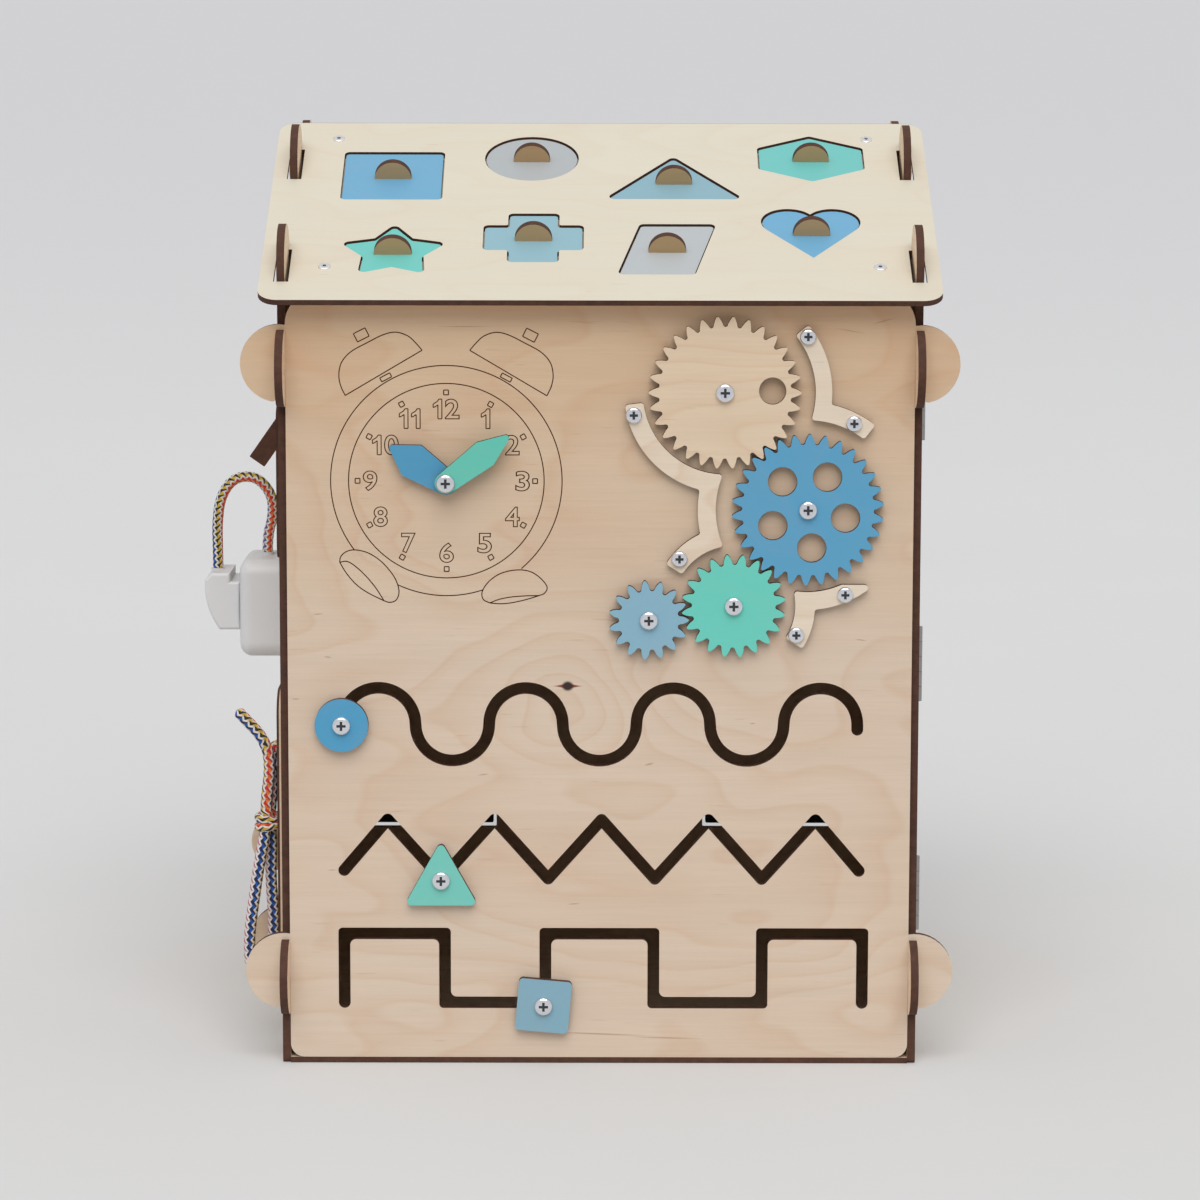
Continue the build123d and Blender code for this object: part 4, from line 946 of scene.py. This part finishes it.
class BUSYBOX_OT_dial(Operator):
    """Engraved alarm clock with rings, numerals, bells and feet"""
    bl_idname = "busybox.dial"
    bl_label = "Engraved dial"

    def execute(self, context):
        dial = context.scene.busybox_dial

        def on_wall(flat, out):
            """Places (x, z) about the dial's centre, this far out of the wall's outer face."""
            return np.column_stack([flat[:, 0] + dial.centre[0], FRONT_Y - out, flat[:, 1] + dial.centre[1]])

        ring = arc_points(dial.inner, 0, 360, 181)[:-1]
        strips = [line_strip(ring, dial.line, closed=True)]
        strips += [line_strip(path, dial.line) for path in dial_paths(dial)]
        pieces = [(on_wall(flat, np.full(len(flat), PROUD)), quads) for flat, quads in strips]
        for hour in range(1, 13):
            angle = math.radians(90.0 - 30.0 * hour)
            points, polygons = numeral_outline(str(hour), dial)
            wider = points[:, 0].max() - dial.digit / 2
            place = np.array([(dial.numerals_across - wider) * math.cos(angle),
                              dial.numerals_up * math.sin(angle)])
            pieces.append((on_wall(points[:, :2] + place, points[:, 2] * DIGIT_PROUD), polygons))
        scorch = scorched("engraved_line", context.scene.busybox_wood.engraved)
        made = new_mesh_object("clock_engraving", *joined(pieces), scorch, smooth=False)
        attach(made, "house")
        return {"FINISHED"}


# ---- cords: their routes in millimetres

PLUG_CORD = [
    (-201.9, -50, 240.45), (-201.9, -50, 250), (-202.1, -50.3, 264), (-200.2, -50.6, 278.4),
    (-192.9, -51, 288.6), (-181, -51.2, 289.2), (-172.8, -51, 279.6), (-172.6, -50.6, 267.6),
    (-175.6, -50, 257.6), (-175.6, -50, 249.05),
]
LONG_LACE = [
    (-186.2, -127, 176.8), (-179.6, -126.6, 170), (-173.6, -126, 163), (-170, -125.4, 154.5),
    (-169.6, -125, 144.5), (-171, -125, 134), (-171.8, -125.2, 123.5), (-172.2, -125.8, 112.5),
    (-174.6, -126.4, 100.5), (-176.6, -126.8, 88.5), (-178.4, -127, 76.5), (-180, -127, 65),
    (-181, -126.6, 54), (-180.4, -126, 43),
]
SHORT_LACE = [
    (-161.5, -118, 157.8), (-167.9, -118, 157.8), (-169.9, -118.4, 149.5), (-168.6, -118.8, 139.5),
    (-169.4, -119.2, 129), (-170.2, -119.6, 118), (-169.2, -120, 106.5), (-169.9, -120.2, 95),
    (-169.7, -120.3, 84), (-168.9, -120.2, 73), (-168.6, -120, 62), (-169.2, -119.6, 51),
]
# Turn of the columns round the cord, in turns, by share of the length
PLUG_TURN = ((0.0, -0.075), (1.0, 0.306))
LONG_TURN = ((0.15, 0.614), (0.20, 0.914), (0.40, 0.914), (0.47, 0.514))
SHORT_TURN = ((0.34, 0.914), (0.42, 0.514))
# The two yarns of each coloured column
PLUG_YARNS = (("navy", "blue"), ("black", "yellow"), ("red", "orange"), ("purple", "white"),
              ("black", "white"))
LACE_YARNS = (("pink", "white"), ("navy", "blue"), ("black", "yellow"), ("red", "orange"),
              ("navy", "purple"))
COLUMNS = len(PLUG_YARNS)
STEP = 0.4 * MM                # between two rings of vertices
KNOT_PLACE, KNOT_REACH, KNOT_RISE, KNOT_TURNS = (-171.1, -122.6, 117.8), 5.2, 2.4, 2
KNOT_FLAT, KNOT_SWELL = 0.85, 0.08      # the knot's width over its depth, and how much its loops differ
KNOT_CORD = 0.42               # radius of the cord in the knot, over the lace's diameter


def route_points(name, points):
    """The route's own smooth line: a NURBS spline of order 3 on its points, read back evenly spaced."""
    curve = bpy.data.curves.new(name + "_route", "CURVE")
    curve.dimensions = "3D"
    curve.resolution_u = 24
    spline = curve.splines.new("NURBS")
    spline.points.add(len(points) - 1)
    for knot, point in zip(spline.points, points):
        knot.co = (*(coordinate * MM for coordinate in point), 1.0)
    spline.order_u = 3
    spline.use_endpoint_u = True
    line, _ = curve_mesh(curve)
    run = run_lengths(line)
    even = np.linspace(0.0, run[-1], int(run[-1] / STEP))
    return np.stack([np.interp(even, run, line[:, axis]) for axis in range(3)], axis=1), run[-1]


def braided(name, points, diameter, material, cell, caps=True, **twist):
    """A braided cord along its route; returns the piece, the line that it follows and its length."""
    line, run = route_points(name, points)
    sway = bpy.context.scene.busybox_cord.sway
    vertices, faces, uv = tube_along(line, diameter / 2, 80, cell, COLUMNS, sway=sway, caps=caps, **twist)
    return new_mesh_object(name, vertices, faces, material, uv), line, run


def knot_path(count):
    """Closed loop that goes twice round the laces: an oval that climbs and falls as it turns.

    At an angle a the loop's radius is its reach times 1 + 0.08 cos(a turned once), and its height is its
    rise times the sine of half the turns.
    """
    angle = np.linspace(0.0, 2 * np.pi * KNOT_TURNS, count)
    radius = KNOT_REACH * (1 + KNOT_SWELL * np.cos(angle / KNOT_TURNS))
    x, y, z = KNOT_PLACE
    return np.stack([x + KNOT_FLAT * radius * np.cos(angle), y + radius * np.sin(angle),
                     z + KNOT_RISE * np.sin(angle / KNOT_TURNS)], axis=1) * MM


class BUSYBOX_OT_cords(Operator):
    """The plug's cord, the two laces and their knot, in braided yarn"""
    bl_idname = "busybox.cords"
    bl_label = "Cords"

    def execute(self, context):
        cord = context.scene.busybox_cord
        plug, line, run = braided("plug_cord_braid", PLUG_CORD, cord.plug_diameter,
                                  braid("plug_braid", PLUG_YARNS), cord.plug_cell, caps=False,
                                  turn=PLUG_TURN)
        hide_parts("plug_cord")
        tuple(line[0])
        tuple(line[-1])
        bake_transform(plug)
        tuple(line[0])
        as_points(line)
        yarn = braid("lace_braid", LACE_YARNS)
        (long_lace, long_line, long_run), (short_lace, short_line, short_run) = (
            braided(name, points, cord.lace_diameter, yarn, cord.lace_cell, hand=-1, turn=turn)
            for name, points, turn in (("lace_long_braid", LONG_LACE, LONG_TURN),
                                       ("lace_short_braid", SHORT_LACE, SHORT_TURN)))
        vertices, faces, uv = tube_along(knot_path(160), cord.lace_diameter * KNOT_CORD, 60, cord.lace_cell,
                                         COLUMNS, hand=-1, sway=cord.sway)
        knot = new_mesh_object("lace_knot", vertices, faces, yarn, uv)
        for piece, node in ((long_lace, "lace_long"), (short_lace, "lace_short"), (knot, "lace_ends")):
            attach(piece, "house")
            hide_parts(node)
        tuple(long_line[0])
        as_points(long_line)
        tuple(short_line[0])
        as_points(short_line)
        return {"FINISHED"}


# ---- the stage

# Light of the sky by height, the sine of the angle above the horizon, as a share of the strongest
SKY_LEVELS = ((-1.0, 0.14), (-0.05, 0.14), (0.0, 0.54), (0.3, 0.68), (1.0, 0.84))
TO_LAMP = (0.0, -0.66, 0.75)
FAR_BEGINS, FAR_ENDS = 1.6, 3.6         # metres behind the box's middle where the floor goes darker


class BUSYBOX_OT_stage(Operator):
    """Camera, plain pale floor and soft light"""
    bl_idname = "busybox.stage"
    bl_label = "Stage"

    def execute(self, context):
        settings = context.scene.busybox_stage
        self.camera(context, settings)
        self.floor(settings)
        self.light(settings)
        context.scene.world = self.sky(settings)
        context.scene.view_settings.view_transform = "Standard"
        return {"FINISHED"}

    def camera(self, context, settings):
        lens = bpy.data.cameras.new("camera")
        lens.lens = settings.lens
        lens.sensor_width = 36.0
        lens.clip_end = 50.0
        camera = place_object("camera", lens)
        view = Vector(settings.target) - Vector(settings.eye)
        turn = view.to_track_quat("-Z", "Y").to_matrix() @ Matrix.Rotation(settings.roll, 3, "Z")
        camera.matrix_world = Matrix.Translation(settings.eye) @ turn.to_4x4()
        context.scene.camera = camera

    def floor(self, settings):
        """A level sheet that curves up far behind the box: a quarter circle joins floor and backdrop."""
        skin = Surface("floor_paper")
        near = skin.clouded(skin.noise(skin.place, 3.0), settings.floor, 0.985)
        behind = skin.ranged(skin.axes(skin.place)["Y"], (FAR_BEGINS, FAR_ENDS),
                             interpolation_type="SMOOTHSTEP")
        skin.finish(skin.mix(behind, near, linear(settings.far)), 0.9)
        skin.shader.inputs["Specular IOR Level"].default_value = 0.2
        radius, back, front, side, top = 3.4, 1.8, -2.0, 6.0, 6.0
        bend = np.linspace(0.0, np.pi / 2, 24)
        y = np.concatenate([[front, 0.0], back + radius * np.sin(bend), [back + radius]])
        z = np.concatenate([[0.0, 0.0], radius - radius * np.cos(bend), [top]])
        x, rows = np.meshgrid(np.linspace(-side, side, 3), np.arange(len(y)))
        points = np.stack([x, y[rows], z[rows]], axis=-1).reshape(-1, 3)
        new_mesh_object("floor", points, grid_faces(len(y), 3).tolist(), skin.material)

    def light(self, settings):
        lamp = bpy.data.lights.new("broad_lamp", "SUN")
        lamp.energy = settings.sun
        lamp.angle = settings.spread
        place_object("broad_lamp", lamp).rotation_euler = Vector(TO_LAMP).to_track_quat("Z", "Y").to_euler()

    def sky(self, settings):
        """Even light, bright overhead, dim below. Camera, glossy and transmission rays see plain grey."""
        world = bpy.data.worlds.new("even_light")
        world.use_nodes = True
        air = Nodes(world.node_tree)
        height = air.axes(air.add("TexCoord").outputs["Generated"])["Z"]
        light = air.ramp(air.ranged(height, (-1.0, 1.0)), [((up + 1) / 2, level) for up, level in SKY_LEVELS])
        lit = air.tree.nodes["Background"]
        lit.inputs["Strength"].default_value = settings.sky
        air.put(lit.inputs["Color"], light)
        seen = air.add("Background", {"Color": linear(settings.backdrop)})
        rays = air.add("LightPath").outputs
        plain = rays["Is Camera Ray"]
        for other in ("Is Glossy Ray", "Is Transmission Ray"):
            plain = air.math("MAXIMUM", plain, rays[other])
        choice = air.add("MixShader", {0: plain, 1: lit.outputs[0], 2: seen.outputs[0]})
        air.put(air.tree.nodes["World Output"].inputs["Surface"], choice.outputs[0])
        return world


# ---- the panel

OPERATORS = (BUSYBOX_OT_stage, BUSYBOX_OT_cords, BUSYBOX_OT_walls, BUSYBOX_OT_roof, BUSYBOX_OT_shapes,
             BUSYBOX_OT_gears, BUSYBOX_OT_sliders, BUSYBOX_OT_side_toys, BUSYBOX_OT_fasteners,
             BUSYBOX_OT_recesses, BUSYBOX_OT_hinge_screws, BUSYBOX_OT_plug, BUSYBOX_OT_dial)


class BUSYBOX_PT_panel(Panel):
    """Lists the pieces of the busy box and their settings"""
    bl_label = "Busy box"
    bl_idname = "BUSYBOX_PT_panel"
    bl_space_type = "VIEW_3D"
    bl_region_type = "UI"
    bl_category = "Busy box"

    def draw(self, context):
        for operator in OPERATORS:
            self.layout.operator(operator.bl_idname)
        for name, group in SETTINGS.items():
            box = self.layout.box()
            for key in group.__annotations__:
                box.prop(getattr(context.scene, name), key)


CLASSES = (*SETTINGS.values(), *OPERATORS, BUSYBOX_PT_panel)


def register():
    for kind in CLASSES:
        bpy.utils.register_class(kind)
    for name, group in SETTINGS.items():
        setattr(Scene, name, PointerProperty(type=group))


def unregister():
    for name in SETTINGS:
        delattr(Scene, name)
    for kind in reversed(CLASSES):
        bpy.utils.unregister_class(kind)


def main():
    register()
    for operator in OPERATORS:
        module, name = operator.bl_idname.split(".")
        getattr(getattr(bpy.ops, module), name)()


if __name__ == "__main__":
    main()
